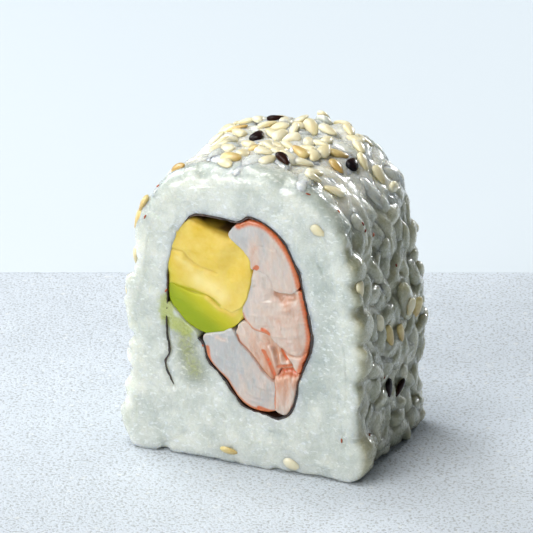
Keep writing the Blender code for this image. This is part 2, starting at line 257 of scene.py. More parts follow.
AVOCADO_UPPER: Points = (
    (-11.0, 27.2), (-11.0, 28.6), (-10.75, 30.4), (-10.25, 32.2), (-9.55, 34.0), (-8.45, 35.6), (-7.0, 36.2),
    (-5.6, 35.1), (-4.2, 34.6), (-2.7, 34.4)) + SEAM_AVOCADO_TOP + SEAM_AVOCADO_MIDDLE + SEAM_SLICES[::-1]
AVOCADO_LOWER: Points = SEAM_SLICES + SEAM_AVOCADO_FOLD + (
    (-1.7, 20.5), (-3.2, 19.6), (-4.9, 19.2), (-6.2, 19.4), (-7.4, 19.9), (-8.5, 20.6), (-9.5, 21.7),
    (-10.7, 23.4))
PRAWN_TOP: Points = SEAM_AVOCADO_TOP[::-1] + (
    (-1.5, 34.9), (-0.5, 35.8), (1.0, 36.5), (2.4, 36.5), (3.8, 35.9), (5.2, 34.9), (6.5, 33.3), (7.5, 31.4),
    (8.2, 29.6), (8.5, 28.2)) + SEAM_TOP_MIDDLE[::-1]
PRAWN_MIDDLE: Points = SEAM_MIDDLE_FOLD[::-1] + ((0.2, 22.7), (0.2, 24.2)) + SEAM_AVOCADO_MIDDLE[::-1] \
    + SEAM_TOP_MIDDLE + ((8.7, 27.3), (9.2, 25.6), (9.5, 24.0), (9.8, 22.2), (10.0, 20.6), (9.7, 18.8),
                         (9.0, 16.7), (8.5, 15.3), (8.0, 15.7))
PRAWN_FOLD: Points = SEAM_FOLD_LOWER[::-1] + ((-0.7, 20.5), (0.0, 21.7)) + SEAM_MIDDLE_FOLD \
    + ((7.2, 16.1), (6.4, 15.9), (5.6, 15.5), (5.1, 14.6))
PRAWN_LOWER: Points = SEAM_LOWER_TIP[::-1] + SEAM_FOLD_LOWER[::-1] + (
    (-1.6, 20.3), (-2.8, 19.7), (-4.3, 19.3), (-5.6, 18.8), (-5.4, 17.4), (-5.1, 16.2), (-4.4, 15.0),
    (-3.4, 14.0), (-2.1, 12.8), (-1.2, 11.5), (-0.1, 10.1), (1.4, 9.15), (3.3, 8.85))
PRAWN_TIP: Points = SEAM_LOWER_TIP + (
    (6.5, 8.8), (7.4, 10.3), (7.9, 12.2), (8.1, 13.8), (8.3, 14.9), (7.4, 15.8), (6.4, 15.6), (5.6, 15.2),
    (5.0, 14.2))


@dataclass(frozen=True)
class Course:
    """How the filling's section turns and drifts on its way from the front face to the back face."""

    depth: float = 25.0
    twist: float = math.radians(5.0)
    drift: tuple[float, float] = (0.5, 0.4)
    centre: tuple[float, float] = (-0.5, 22.5)

    def carried(self, section: Array, depth: Array | float) -> Array:
        """Turns the section about its centre and shifts it, both in step with the depth.

        Args:
            section: points across the cut face, shape (..., 2).
            depth: each point's depth, or one depth for all.

        Returns:
            Points in the roll's frame, shape (..., 3).
        """
        depth = np.broadcast_to(depth, section.shape[:-1])
        share = 0.5 + depth / self.depth
        arm = section - np.asarray(self.centre)
        cosine, sine = np.cos(self.twist * share), np.sin(self.twist * share)
        x = self.centre[0] + arm[..., 0] * cosine - arm[..., 1] * sine + self.drift[0] * share
        z = self.centre[1] + arm[..., 0] * sine + arm[..., 1] * cosine + self.drift[1] * share
        return np.stack([x, depth, z], axis=-1)


COURSE = Course()
HALF = 0.5 * COURSE.depth


# ---- meshes


def grid_faces(rows: int, columns: int, wrap_rows: bool = False) -> Array:
    """Quads of a grid of points, numbered row by row, whose rows close on themselves.

    Args:
        rows: how many rows of points.
        columns: how many points in a row.
        wrap_rows: whether the last row joins the first.

    Returns:
        Vertex numbers, shape (quads, 4).
    """
    row = np.arange(rows if wrap_rows else rows - 1)[:, None]
    column = np.arange(columns)[None, :]
    below, beside = (row + 1) % rows, (column + 1) % columns
    corners = (row * columns + column, row * columns + beside,
               below * columns + beside, below * columns + column)
    return np.stack([np.broadcast_to(c, (row.size, column.size)) for c in corners], axis=-1).reshape(-1, 4)


def mesh_object(name: str, points: Array, faces: Array, **attributes: Array) -> bpy.types.Object:
    """Makes a smooth-shaded mesh object at the origin.

    Args:
        name: the piece's name.
        points: vertex positions in the row frame, shape (n, 3).
        faces: vertex numbers of each face.
        attributes: values for each vertex, kept on the mesh for the materials.

    Returns:
        The new object, linked to the scene.
    """
    mesh = bpy.data.meshes.new(name)
    mesh.from_pydata(points.tolist(), [], faces.tolist())
    for key, values in attributes.items():
        layer = mesh.attributes.new(key, "FLOAT", "POINT")
        layer.data.foreach_set("value", np.ascontiguousarray(values, np.float32).ravel())
    mesh.shade_smooth()
    item = bpy.data.objects.new(name, mesh)
    bpy.context.scene.collection.objects.link(item)
    return item


def turned_outwards(faces: Array, points: Array) -> Array:
    """Reverses a closed body's faces if its signed volume is negative.

    Args:
        faces: triangles or quads, all turned the same way.
        points: the body's points.

    Returns:
        The faces, turned outwards.
    """
    a, b, c = (points[faces[:, k]] for k in (0, 1, 2))
    volume = np.einsum("ij,ij->i", a, np.cross(b, c)).sum()
    if faces.shape[1] == 4:
        volume += np.einsum("ij,ij->i", a, np.cross(c, points[faces[:, 3]])).sum()
    return faces if volume > 0 else faces[:, ::-1]


def hand_over(item: bpy.types.Object, material: Material, slot: str, *nodes: str) -> None:
    """Gives a finished object its material and body, hides the solids that it replaces, and logs its
    triangles.

    Args:
        item: the finished object.
        material: its material.
        slot: not used.
        nodes: the solids that it replaces, if any.
    """
    item.data.materials.append(material)
    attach(item, BODY)
    if nodes:
        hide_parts(*nodes)
    item.data.calc_loop_triangles()
    LOG.info("%s: %d triangles", item.name, len(item.data.loop_triangles))


@dataclass
class Prism:
    """A closed body between two flat faces of one outline, with rounded rims and relief on the faces.

    Each face is filled with an even triangular lattice, joined to the outline by a Delaunay triangulation.
    """

    outline: Array
    spacing: float
    near: float
    far: float
    rim: float
    walls: int
    section: Array = field(init=False)
    inwards: Array = field(init=False)
    triangles: Array = field(init=False)

    def __post_init__(self) -> None:
        """Fills the outline and measures how far each point lies from it."""
        low, high = self.outline.min(0), self.outline.max(0)
        rows = np.arange(low[1], high[1], self.spacing * math.sqrt(0.75))
        columns = np.arange(low[0], high[0], self.spacing)
        lattice = np.stack(np.meshgrid(columns, rows), -1)
        lattice[1::2, :, 0] += 0.5 * self.spacing
        lattice = lattice.reshape(-1, 2)
        lattice = lattice[distances(lattice, self.outline) > 0.55 * self.spacing]
        lattice = lattice[self.holds(lattice)]
        count = len(self.outline)
        points = [Vector(p) for p in np.vstack([self.outline, lattice])]
        edges = [(k, (k + 1) % count) for k in range(count)]
        filled, _, faces, *_ = delaunay_2d_cdt(points, edges, [], 1, 1e-6)
        self.section = np.array(filled)
        self.triangles = np.array(faces)
        self.inwards = distances(self.section, self.outline)

    def holds(self, points: Array) -> Array:
        """Tells inside from outside: a ray up from a point inside crosses the outline an odd number of times.

        Args:
            points: section coordinates, shape (n, 2).

        Returns:
            True for each point inside.
        """
        start, end = self.outline, np.roll(self.outline, -1, 0)
        x, z = points[:, 0, None], points[:, 1, None]
        crosses = (start[:, 0] > x) != (end[:, 0] > x)
        run = np.where(end[:, 0] == start[:, 0], 1e-9, end[:, 0] - start[:, 0])
        height = start[:, 1] + (x - start[:, 0]) / run * (end[:, 1] - start[:, 1])
        return (crosses & (height > z)).sum(1) % 2 == 1

    def body(self, near_relief: Array, far_relief: Array) -> tuple[Array, Array, Array]:
        """Stacks the near face, the walls and the far face.

        The rim is a quarter circle: a point d inside the outline lies rim - sqrt(rim^2 - (rim - d)^2) deep.

        Args:
            near_relief: how far each point of the near face is pressed in.
            far_relief: the same for the far face.

        Returns:
            Section coordinates (n, 2), depths (n,), and triangles.
        """
        edge = np.clip(self.rim - self.inwards, 0, self.rim)
        rounding = self.rim - np.sqrt(self.rim**2 - edge**2)
        count, corner = len(self.outline), len(self.section)
        near = self.near + rounding + near_relief
        far = self.far - rounding - far_relief
        share = np.linspace(0, 1, self.walls + 2)[1:-1, None]
        wall_depth = near[:count] + (far[:count] - near[:count]) * share
        wall_section = np.tile(self.section[:count], (self.walls, 1))
        section = np.vstack([self.section, wall_section, self.section])
        depth = np.concatenate([near, wall_depth.ravel(), far])
        starts = [0] + [corner + k * count for k in range(self.walls + 1)]
        here, beside = np.arange(count), (np.arange(count) + 1) % count
        faces = [self.triangles]
        for first, second in zip(starts[:-1], starts[1:]):
            faces.append(np.stack([first + beside, first + here, second + here], 1))
            faces.append(np.stack([first + beside, second + here, second + beside], 1))
        faces.append(self.triangles[:, ::-1] + corner + self.walls * count)
        return section, depth, np.vstack(faces)


@dataclass
class Seat:
    """Where something rests on the rice: its middle and its axes along, across and up."""

    middle: Array
    axes: Array


@dataclass(frozen=True)
class Bead:
    """A closed blunt-ended body, 2 long and 1 in radius: the shape that grains, seeds and flecks share."""

    rings: int = 9
    columns: int = 12
    blunt: float = 0.75
    taper: float = 0.0
    dents: float = 0.06

    def copies(self, seats: list[Seat], sizes: Array, bends: Array,
               spare: float = 0.0) -> tuple[Array, Array]:
        """Makes a bead on each seat.

        Along its axis t from -1 to 1, a bead's radius is sin(acos t)^blunt (1 - taper t). Its axis bows
        upwards by bend (1 - t^2), and noise that differs from bead to bead dents it. A bead that would reach
        too high is sunk until it doesn't.

        Args:
            seats: where the beads rest.
            sizes: full length, width and thickness, shape (n, 3).
            bends: how far each bead's middle bows up, shape (n,).
            spare: how far under the highest reach they stay.

        Returns:
            All points, shape (n * points, 3), and all triangles.
        """
        centres = np.array([seat.middle for seat in seats])
        axes = np.array([seat.axes for seat in seats])
        turn = np.linspace(0, np.pi, self.rings + 2)[1:-1]
        around = np.linspace(0, 2 * np.pi, self.columns, endpoint=False)
        t = -np.cos(turn)
        radius = np.sin(turn) ** self.blunt * (1 - self.taper * t)
        rings = np.stack([np.repeat(t[:, None], self.columns, 1), radius[:, None] * np.cos(around),
                          radius[:, None] * np.sin(around)], -1).reshape(-1, 3)
        shape = np.vstack([(-1, 0, 0), rings, (1, 0, 0)])
        count, last = self.columns, len(shape) - 1
        here, beside = np.arange(count), (np.arange(count) + 1) % count
        quads = grid_faces(self.rings, count) + 1
        faces = np.vstack([np.stack([np.zeros(count, int), 1 + beside, 1 + here], 1),
                           quads[:, [0, 1, 2]], quads[:, [0, 2, 3]],
                           np.stack([np.full(count, last), last - count + here, last - count + beside], 1)])
        local = shape[None] * sizes[:, None, :] * 0.5
        local[..., 2] += bends[:, None] * (1 - shape[None, :, 0] ** 2)
        where = shape[None] * 0.9 + centres[:, None] * 3.7
        local *= 1 + self.dents * NOISE.at(where, 0.8)[..., None]
        points = centres[:, None] + np.einsum("nka,nab->nkb", local, axes)
        shifts = (np.arange(len(centres)) * len(shape))[:, None, None]
        points[..., 2] -= np.maximum(points[..., 2].max(1) - HIGHEST + spare, 0)[:, None]
        points, faces = points.reshape(-1, 3), (faces[None] + shifts).reshape(-1, 3)
        return points, turned_outwards(faces, points)

    @property
    def size(self) -> int:
        """How many points one bead has."""
        return self.rings * self.columns + 2

    @property
    def along(self) -> Array:
        """Where each point of one bead lies on its length, from -1 to 1."""
        turn = np.linspace(0, np.pi, self.rings + 2)[1:-1]
        return np.concatenate([[-1.0], np.repeat(-np.cos(turn), self.columns), [1.0]])


# ---- finishes


class Graph:
    """Short forms for building a node tree."""

    def __init__(self, tree: Tree) -> None:
        """Keeps the tree to build in."""
        self.tree = tree

    def node(self, kind: str, inputs: dict | None = None, **settings: object) -> Node:
        """Adds a node, sets its properties, and sets or links its inputs.

        Args:
            kind: the node's type, without the leading ShaderNode.
            inputs: socket name or number to a value, or to the output socket that feeds it.
            settings: the node's own properties.

        Returns:
            The new node.
        """
        made = self.tree.nodes.new(f"ShaderNode{kind}")
        for key, value in settings.items():
            setattr(made, key, value)
        for key, value in (inputs or {}).items():
            if isinstance(value, Socket):
                self.tree.links.new(value, made.inputs[key])
            else:
                made.inputs[key].default_value = value
        return made

    def mixed(self, share: object, first: object, second: object) -> Socket:
        """A colour mixed from two by a share: the colour socket of a Mix node."""
        colours = [value if isinstance(value, Socket) else (*value, 1.0) for value in (first, second)]
        return self.node("Mix", {0: share, 6: colours[0], 7: colours[1]}, data_type="RGBA").outputs[2]

    def ramped(self, value: Socket, low: float, high: float, start: float = 0.0,
               end: float = 1.0) -> Socket:
        """A value mapped smoothly from one range to another, held at the ends."""
        made = self.node("MapRange", {"Value": value, "From Min": low, "From Max": high, "To Min": start,
                                      "To Max": end}, interpolation_type="SMOOTHSTEP")
        return made.outputs["Result"]

    def scaled(self, value: object, factor: float, plus: object = 0.0) -> Socket:
        """A value times a factor, plus another."""
        return self.node("Math", {0: value, 1: factor, 2: plus}, operation="MULTIPLY_ADD").outputs[0]

    def attribute(self, name: str) -> Socket:
        """The value that the mesh carries under a name."""
        return self.node("Attribute", attribute_name=name).outputs["Fac"]

    def grouped(self, tree: Tree, place: Socket, **values: float) -> Node:
        """Places a shared group and sets its inputs.

        Args:
            tree: the group.
            place: its coordinates.
            values: its other inputs.

        Returns:
            The group's node.
        """
        made = self.tree.nodes.new("ShaderNodeGroup")
        made.node_tree = tree
        self.tree.links.new(place, made.inputs["Vector"])
        for key, value in values.items():
            made.inputs[key].default_value = value
        return made

    def bumped(self, shader: Node, *layers: tuple[Socket, float]) -> None:
        """Feeds the shader's normal from a chain of bumps.

        Args:
            shader: the shader node.
            layers: pairs of a height and its depth in metres, coarse first.
        """
        before = None
        for height, depth in layers:
            inputs = {"Height": height, "Strength": 1.0, "Distance": depth}
            if before is not None:
                inputs["Normal"] = before
            before = self.node("Bump", inputs).outputs["Normal"]
        self.tree.links.new(before, shader.inputs["Normal"])


class Groups:
    """Shader node groups that several finishes share, each built once."""

    @staticmethod
    def started(name: str, **inputs: float) -> tuple[Tree, Graph, Node]:
        """Starts a group with a Vector input, number inputs, and the outputs Mask and Height.

        Args:
            name: the group's name.
            inputs: its number inputs and their values.

        Returns:
            The group's tree, its graph, and the node that gives its inputs.
        """
        tree = bpy.data.node_groups.new(name, "ShaderNodeTree")
        tree.interface.new_socket("Vector", in_out="INPUT", socket_type="NodeSocketVector")
        for key, value in inputs.items():
            socket = tree.interface.new_socket(key, in_out="INPUT", socket_type="NodeSocketFloat")
            socket.default_value = value
        for key in ("Mask", "Height"):
            tree.interface.new_socket(key, in_out="OUTPUT", socket_type="NodeSocketFloat")
        return tree, Graph(tree), tree.nodes.new("NodeGroupInput")

    @staticmethod
    def finished(tree: Tree, mask: Socket, height: Socket) -> None:
        """Links a group's two outputs."""
        out = tree.nodes.new("NodeGroupOutput")
        tree.links.new(mask, out.inputs["Mask"])
        tree.links.new(height, out.inputs["Height"])

    @classmethod
    def mottle(cls) -> Tree:
        """Cloudy patches: noise, and as Mask the same noise pushed apart about its middle by Contrast.

        Returns:
            The group.
        """
        if "mottle" in bpy.data.node_groups:
            return bpy.data.node_groups["mottle"]
        tree, graph, inside = cls.started("mottle", Scale=500.0, Detail=3.0, Contrast=1.0)
        noise = graph.node("TexNoise", {"Vector": inside.outputs["Vector"], "Scale": inside.outputs["Scale"],
                                        "Detail": inside.outputs["Detail"], "Roughness": 0.6})
        centred = graph.node("Math", {0: noise.outputs["Fac"], 1: 0.5}, operation="SUBTRACT").outputs[0]
        pushed = graph.node("Math", {0: centred, 1: inside.outputs["Contrast"], 2: 0.5},
                            operation="MULTIPLY_ADD", use_clamp=True)
        cls.finished(tree, pushed.outputs[0], noise.outputs["Fac"])
        return tree

    @classmethod
    def cells(cls) -> Tree:
        """Rounded cells: as Mask each cell's random value, as Height how near its middle is.

        Returns:
            The group.
        """
        if "cells" in bpy.data.node_groups:
            return bpy.data.node_groups["cells"]
        tree, graph, inside = cls.started("cells", Scale=500.0, Wobble=0.0005)
        noise = graph.node("TexNoise", {"Vector": inside.outputs["Vector"], "Scale": inside.outputs["Scale"],
                                        "Detail": 1.0})
        shift = graph.node("VectorMath", {0: noise.outputs["Color"], 1: (0.5, 0.5, 0.5)},
                           operation="SUBTRACT")
        moved = graph.node("VectorMath", {0: shift.outputs[0], "Scale": inside.outputs["Wobble"]},
                           operation="SCALE")
        place = graph.node("VectorMath", {0: inside.outputs["Vector"], 1: moved.outputs[0]}, operation="ADD")
        cell = graph.node("TexVoronoi", {"Vector": place.outputs[0], "Scale": inside.outputs["Scale"]},
                          feature="SMOOTH_F1")
        near = graph.node("Math", {0: 1.0, 1: cell.outputs["Distance"]}, operation="SUBTRACT")
        grey = graph.node("SeparateColor", {0: cell.outputs["Color"]})
        cls.finished(tree, grey.outputs[0], near.outputs[0])
        return tree


@dataclass(frozen=True)
class Finish:
    """What the finishes share: gloss, a thin wet coat, and light that passes under the skin."""

    name: str
    roughness: float = 0.35
    coat: float = 0.3
    coat_roughness: float = 0.15
    under_skin: float = 0.5
    reach: float = 0.0012
    reach_colours: Colour = (1.0, 0.9, 0.7)
    specular: float = 0.5

    def build(self) -> Material:
        """Makes the material and has the finish paint it.

        Returns:
            The material.
        """
        material = bpy.data.materials.new(self.name)
        material.use_nodes = True
        graph = Graph(material.node_tree)
        shader = material.node_tree.nodes["Principled BSDF"]
        values = {"Roughness": self.roughness, "Specular IOR Level": self.specular,
                  "Coat Weight": self.coat, "Coat Roughness": self.coat_roughness,
                  "Subsurface Weight": self.under_skin, "Subsurface Radius": self.reach_colours,
                  "Subsurface Scale": self.reach}
        for key, value in values.items():
            shader.inputs[key].default_value = value
        colour = self.paint(graph, shader, graph.node("TexCoord").outputs["Object"])
        graph.tree.links.new(colour, shader.inputs["Base Color"])
        return material

    def paint(self, graph: Graph, shader: Node, place: Socket) -> Socket:
        """Adds the finish's own nodes.

        Args:
            graph: the material's graph.
            shader: the shader node, whose normal, roughness and coat may be fed here.
            place: the Object coordinates.

        Returns:
            The colour.
        """
        raise NotImplementedError


@dataclass(frozen=True)
class RiceFinish(Finish):
    """Cooked rice: glassy where the mesh's tint is low, then chalky, then creamy, and green under mash."""

    glassy: Colour = (0.46, 0.51, 0.48)
    chalky: Colour = (0.71, 0.735, 0.68)
    # Multiplied in by the warm attribute: painted shade, darker and olive, on the sides and most on the
    # right.
    painted_shade: Colour = (0.70, 0.66, 0.51)
    # White flecks, partly starch and partly painted glints.
    fleck_and_glint: Colour = (0.86, 0.90, 0.90)
    creamy: Colour = (0.82, 0.81, 0.72)
    mash: Colour = (0.40, 0.45, 0.07)
    cloud_scale: float = 240.0
    grain_scale: float = 520.0
    wet_scale: float = 2300.0
    dash_turn: Triple = (0.5, 0.7, 0.3)
    dash_stretch: Triple = (0.5, 1.0, 1.0)
    grain_depth: float = 0.00012
    wet_depth: float = 0.00008

    def paint(self, graph: Graph, shader: Node, place: Socket) -> Socket:
        """Mixes the shades of rice by the tint and by clouds, flecks it, shades it, and wets it with a patchy
        film.

        The flecks are white, partly starch and partly painted glints. The shade is painted: the warm
        attribute multiplies the rice darker and more olive, most on the right side. The film is the coat: it
        lies in drawn-out dashes, and is thin where the tint falls below 0.
        """
        clouds = graph.grouped(Groups.mottle(), place, Scale=self.cloud_scale, Detail=3.0, Contrast=2.0)
        grains = graph.grouped(Groups.cells(), place, Scale=self.grain_scale, Wobble=0.0012)
        drawn = graph.node("Mapping", {"Vector": place, "Rotation": self.dash_turn,
                                       "Scale": self.dash_stretch}).outputs[0]
        wet = graph.grouped(Groups.mottle(), place, Scale=self.wet_scale, Detail=2.0, Contrast=3.0)
        dashes = graph.grouped(Groups.mottle(), drawn, Scale=self.wet_scale, Detail=1.0, Contrast=3.0)
        fine = graph.scaled(grains.outputs["Height"], 0.45, graph.scaled(grains.outputs["Mask"], 0.25,
                                                                         graph.attribute("tint")))
        whole = graph.scaled(clouds.outputs["Mask"], 0.5, fine)
        pressed = graph.mixed(graph.ramped(whole, 0.45, 1.55), self.glassy, self.chalky)
        pressed = graph.mixed(graph.ramped(whole, 1.5, 2.3), pressed, self.creamy)
        # White flecks, partly starch and partly painted glints.
        starch_and_glint = graph.scaled(clouds.outputs["Mask"], 0.25, dashes.outputs["Mask"])
        rice = graph.mixed(graph.ramped(starch_and_glint, 0.9, 1.2, 0.0, 0.5), pressed, self.fleck_and_glint)
        # Painted shade: the warm attribute multiplies the rice darker and olive, on the sides and most on the
        # right.
        side_shaded = graph.node("Mix", {0: graph.attribute("warm"), 6: rice, 7: (*self.painted_shade, 1.0)},
                             data_type="RGBA", blend_type="MULTIPLY").outputs[2]
        mash = graph.scaled(wet.outputs["Mask"], 0.5, graph.scaled(graph.attribute("mash"), 1.8, -0.5))
        gloss = graph.ramped(wet.outputs["Mask"], 0.0, 1.0, self.roughness - 0.1, self.roughness + 0.2)
        graph.tree.links.new(gloss, shader.inputs["Roughness"])
        dull = graph.ramped(graph.attribute("tint"), -0.3, 0.2, 0.15, 1.0)
        film = graph.scaled(graph.ramped(dashes.outputs["Mask"], 0.2, 0.7, 0.15, 1.0), dull)
        graph.tree.links.new(film, shader.inputs["Coat Weight"])
        graph.bumped(shader, (grains.outputs["Height"], self.grain_depth),
                     (wet.outputs["Height"], self.wet_depth))
        return graph.mixed(graph.ramped(mash, 0.0, 1.2, 0.0, 0.8), side_shaded, self.mash)


@dataclass(frozen=True)
class SeaweedFinish(Finish):
    """Damp seaweed: near black, with brown patches and fine wrinkles."""

    dark: Colour = (0.006, 0.007, 0.009)
    brown: Colour = (0.050, 0.018, 0.008)
    patch_scale: float = 500.0
    wrinkle_depth: float = 0.00015

    def paint(self, graph: Graph, shader: Node, place: Socket) -> Socket:
        """Mixes two dark colours by patches and wrinkles the surface with the same patches."""
        patches = graph.grouped(Groups.mottle(), place, Scale=self.patch_scale, Detail=4.0, Contrast=3.0)
        graph.bumped(shader, (patches.outputs["Height"], self.wrinkle_depth))
        return graph.mixed(patches.outputs["Mask"], self.dark, self.brown)


@dataclass(frozen=True)
class AvocadoFinish(Finish):
    """Avocado flesh: yellow where the mesh's tint is 0, green at 1, with painted highlights in pale yellow
    where marked.
    """

    pale: Colour = (0.80, 0.63, 0.17)
    deep: Colour = (0.70, 0.475, 0.03)
    # Painted highlight on the lit facets.
    highlight_yellow: Colour = (0.92, 0.82, 0.40)
    # Painted shade in the grooves.
    crease_shade: Colour = (0.45, 0.28, 0.02)
    # Painted shadow, near black, in the pocket under the seaweed.
    pocket_shadow: Colour = (0.05, 0.02, 0.006)
    lime: Colour = (0.53, 0.50, 0.01)
    green: Colour = (0.29, 0.37, 0.0)
    cloud_scale: float = 260.0
    smear_depth: float = 0.00018

    def paint(self, graph: Graph, shader: Node, place: Socket) -> Socket:
        """Yellow through lime to green along the tint, clouded, with painted shade in grooves, dark to near
        black.
        """
        clouds = graph.grouped(Groups.mottle(), place, Scale=self.cloud_scale, Detail=4.0, Contrast=2.4)
        fine = graph.grouped(Groups.mottle(), place, Scale=6 * self.cloud_scale, Detail=2.0, Contrast=2.0)
        yellow = graph.mixed(clouds.outputs["Mask"], self.pale, self.deep)
        # Painted highlights: pale yellow where the marks lay them on lit facets.
        yellow = graph.mixed(graph.attribute("skin"), yellow, self.highlight_yellow)
        tint = graph.attribute("tint")
        limed = graph.mixed(graph.ramped(tint, 0.1, 0.6), yellow, self.lime)
        greened = graph.mixed(graph.ramped(tint, 0.5, 1.0), limed, self.green)
        graph.bumped(shader, (clouds.outputs["Height"], self.smear_depth),
                     (fine.outputs["Height"], 0.3 * self.smear_depth))
        # Painted shade in the grooves, near black in the deepest: the pocket under the seaweed.
        groove = graph.attribute("groove")
        crease_shaded = graph.mixed(graph.ramped(groove, 0.0, 1.0, 0.0, 0.55), greened, self.crease_shade)
        return graph.mixed(graph.ramped(groove, 1.0, 2.2, 0.0, 0.94), crease_shaded, self.pocket_shadow)


@dataclass(frozen=True)
class PrawnFinish(Finish):
    """Prawn flesh: cool where the mesh's tint is 0, peach at 1, and coral where skin is marked."""

    cool: Colour = (0.46, 0.465, 0.465)
    cream: Colour = (0.63, 0.51, 0.44)
    peach: Colour = (0.58, 0.31, 0.20)
    milky: Colour = (0.76, 0.70, 0.66)
    coral: Colour = (0.60, 0.17, 0.06)
    red: Colour = (0.72, 0.11, 0.02)
    fibre_scale: float = 760.0
    thread_scale: float = 2300.0
    speckle_scale: float = 2600.0
    fibre_depth: float = 0.00028

    def paint(self, graph: Graph, shader: Node, place: Socket) -> Socket:
        """Runs from cool through cream to peach along the tint, and lays speckled skin over it."""
        stretched = graph.node("Mapping", {"Vector": place, "Rotation": (0.0, 0.6, ROLL_TURN),
                                           "Scale": (1.0, 1.0, 0.35)}).outputs[0]
        fibres = graph.grouped(Groups.mottle(), stretched, Scale=self.fibre_scale, Detail=4.0, Contrast=2.6)
        threads = graph.grouped(Groups.mottle(), stretched, Scale=self.thread_scale, Detail=3.0, Contrast=2.0)
        speckle = graph.grouped(Groups.mottle(), place, Scale=self.speckle_scale, Detail=1.0, Contrast=5.0)
        tint = graph.scaled(fibres.outputs["Mask"], 0.34, graph.scaled(graph.attribute("tint"), 1.0, -0.19))
        flesh = graph.mixed(graph.ramped(tint, 0.0, 0.5), self.cool, self.cream)
        warm = graph.mixed(graph.ramped(tint, 0.45, 1.0), flesh, self.peach)
        warm = graph.mixed(graph.ramped(threads.outputs["Mask"], 0.4, 1.1, 0.0, 0.35), warm, self.milky)
        skin = graph.attribute("skin")
        speckled = graph.scaled(speckle.outputs["Mask"], 0.55, graph.scaled(skin, 0.9, -0.9))
        coral = graph.mixed(graph.ramped(speckled, 0.32, 0.6), self.coral, self.red)
        graph.bumped(shader, (fibres.outputs["Height"], self.fibre_depth))
        return graph.mixed(graph.ramped(skin, 0.2, 0.8), warm, coral)


@dataclass(frozen=True)
class SeedFinish(Finish):
    """A seed's coat: two shades that the mesh's tint mixes, with a faint grain."""

    light: Colour = (0.80, 0.765, 0.60)
    dark: Colour = (0.72, 0.63, 0.39)
    grain_scale: float = 1800.0
    grain_depth: float = 0.00004

    def paint(self, graph: Graph, shader: Node, place: Socket) -> Socket:
        """Mixes the two shades by the tint and by clouds."""
        clouds = graph.grouped(Groups.mottle(), place, Scale=self.grain_scale, Detail=2.0, Contrast=2.0)
        share = graph.ramped(graph.scaled(clouds.outputs["Mask"], 0.4, graph.attribute("tint")), 0.1, 1.2)
        graph.bumped(shader, (clouds.outputs["Height"], self.grain_depth))
        return graph.mixed(share, self.light, self.dark)


@dataclass(frozen=True)
class StoneFinish(Finish):
    """Honed grey stone: fine light and dark grains over slow clouds."""

    light: Colour = (0.61, 0.665, 0.735)
    mid: Colour = (0.51, 0.56, 0.62)
    dark: Colour = (0.31, 0.33, 0.34)
    white: Colour = (0.70, 0.72, 0.72)
    grain_scale: float = 2400.0
    cloud_scale: float = 60.0
    cloud_depth: float = 0.0006
    grain_depth: float = 0.00016

    def paint(self, graph: Graph, shader: Node, place: Socket) -> Socket:
        """Mixes two greys by clouds, dots them dark and white, and pits the surface with the grains."""
        grains = graph.grouped(Groups.mottle(), place, Scale=self.grain_scale, Detail=2.0, Contrast=3.5)
        pits = graph.grouped(Groups.cells(), place, Scale=0.5 * self.grain_scale, Wobble=0.0004)
        clouds = graph.grouped(Groups.mottle(), place, Scale=self.cloud_scale, Detail=3.0, Contrast=1.5)
        base = graph.mixed(clouds.outputs["Mask"], self.mid, self.light)
        dotted = graph.mixed(graph.ramped(grains.outputs["Mask"], 0.0, 0.45, 0.8, 0.0), base, self.dark)
        graph.bumped(shader, (clouds.outputs["Height"], self.cloud_depth),
                     (grains.outputs["Height"], self.grain_depth))
        return graph.mixed(graph.ramped(pits.outputs["Mask"], 0.8, 1.0, 0.0, 0.5), dotted, self.white)


# ---- rice


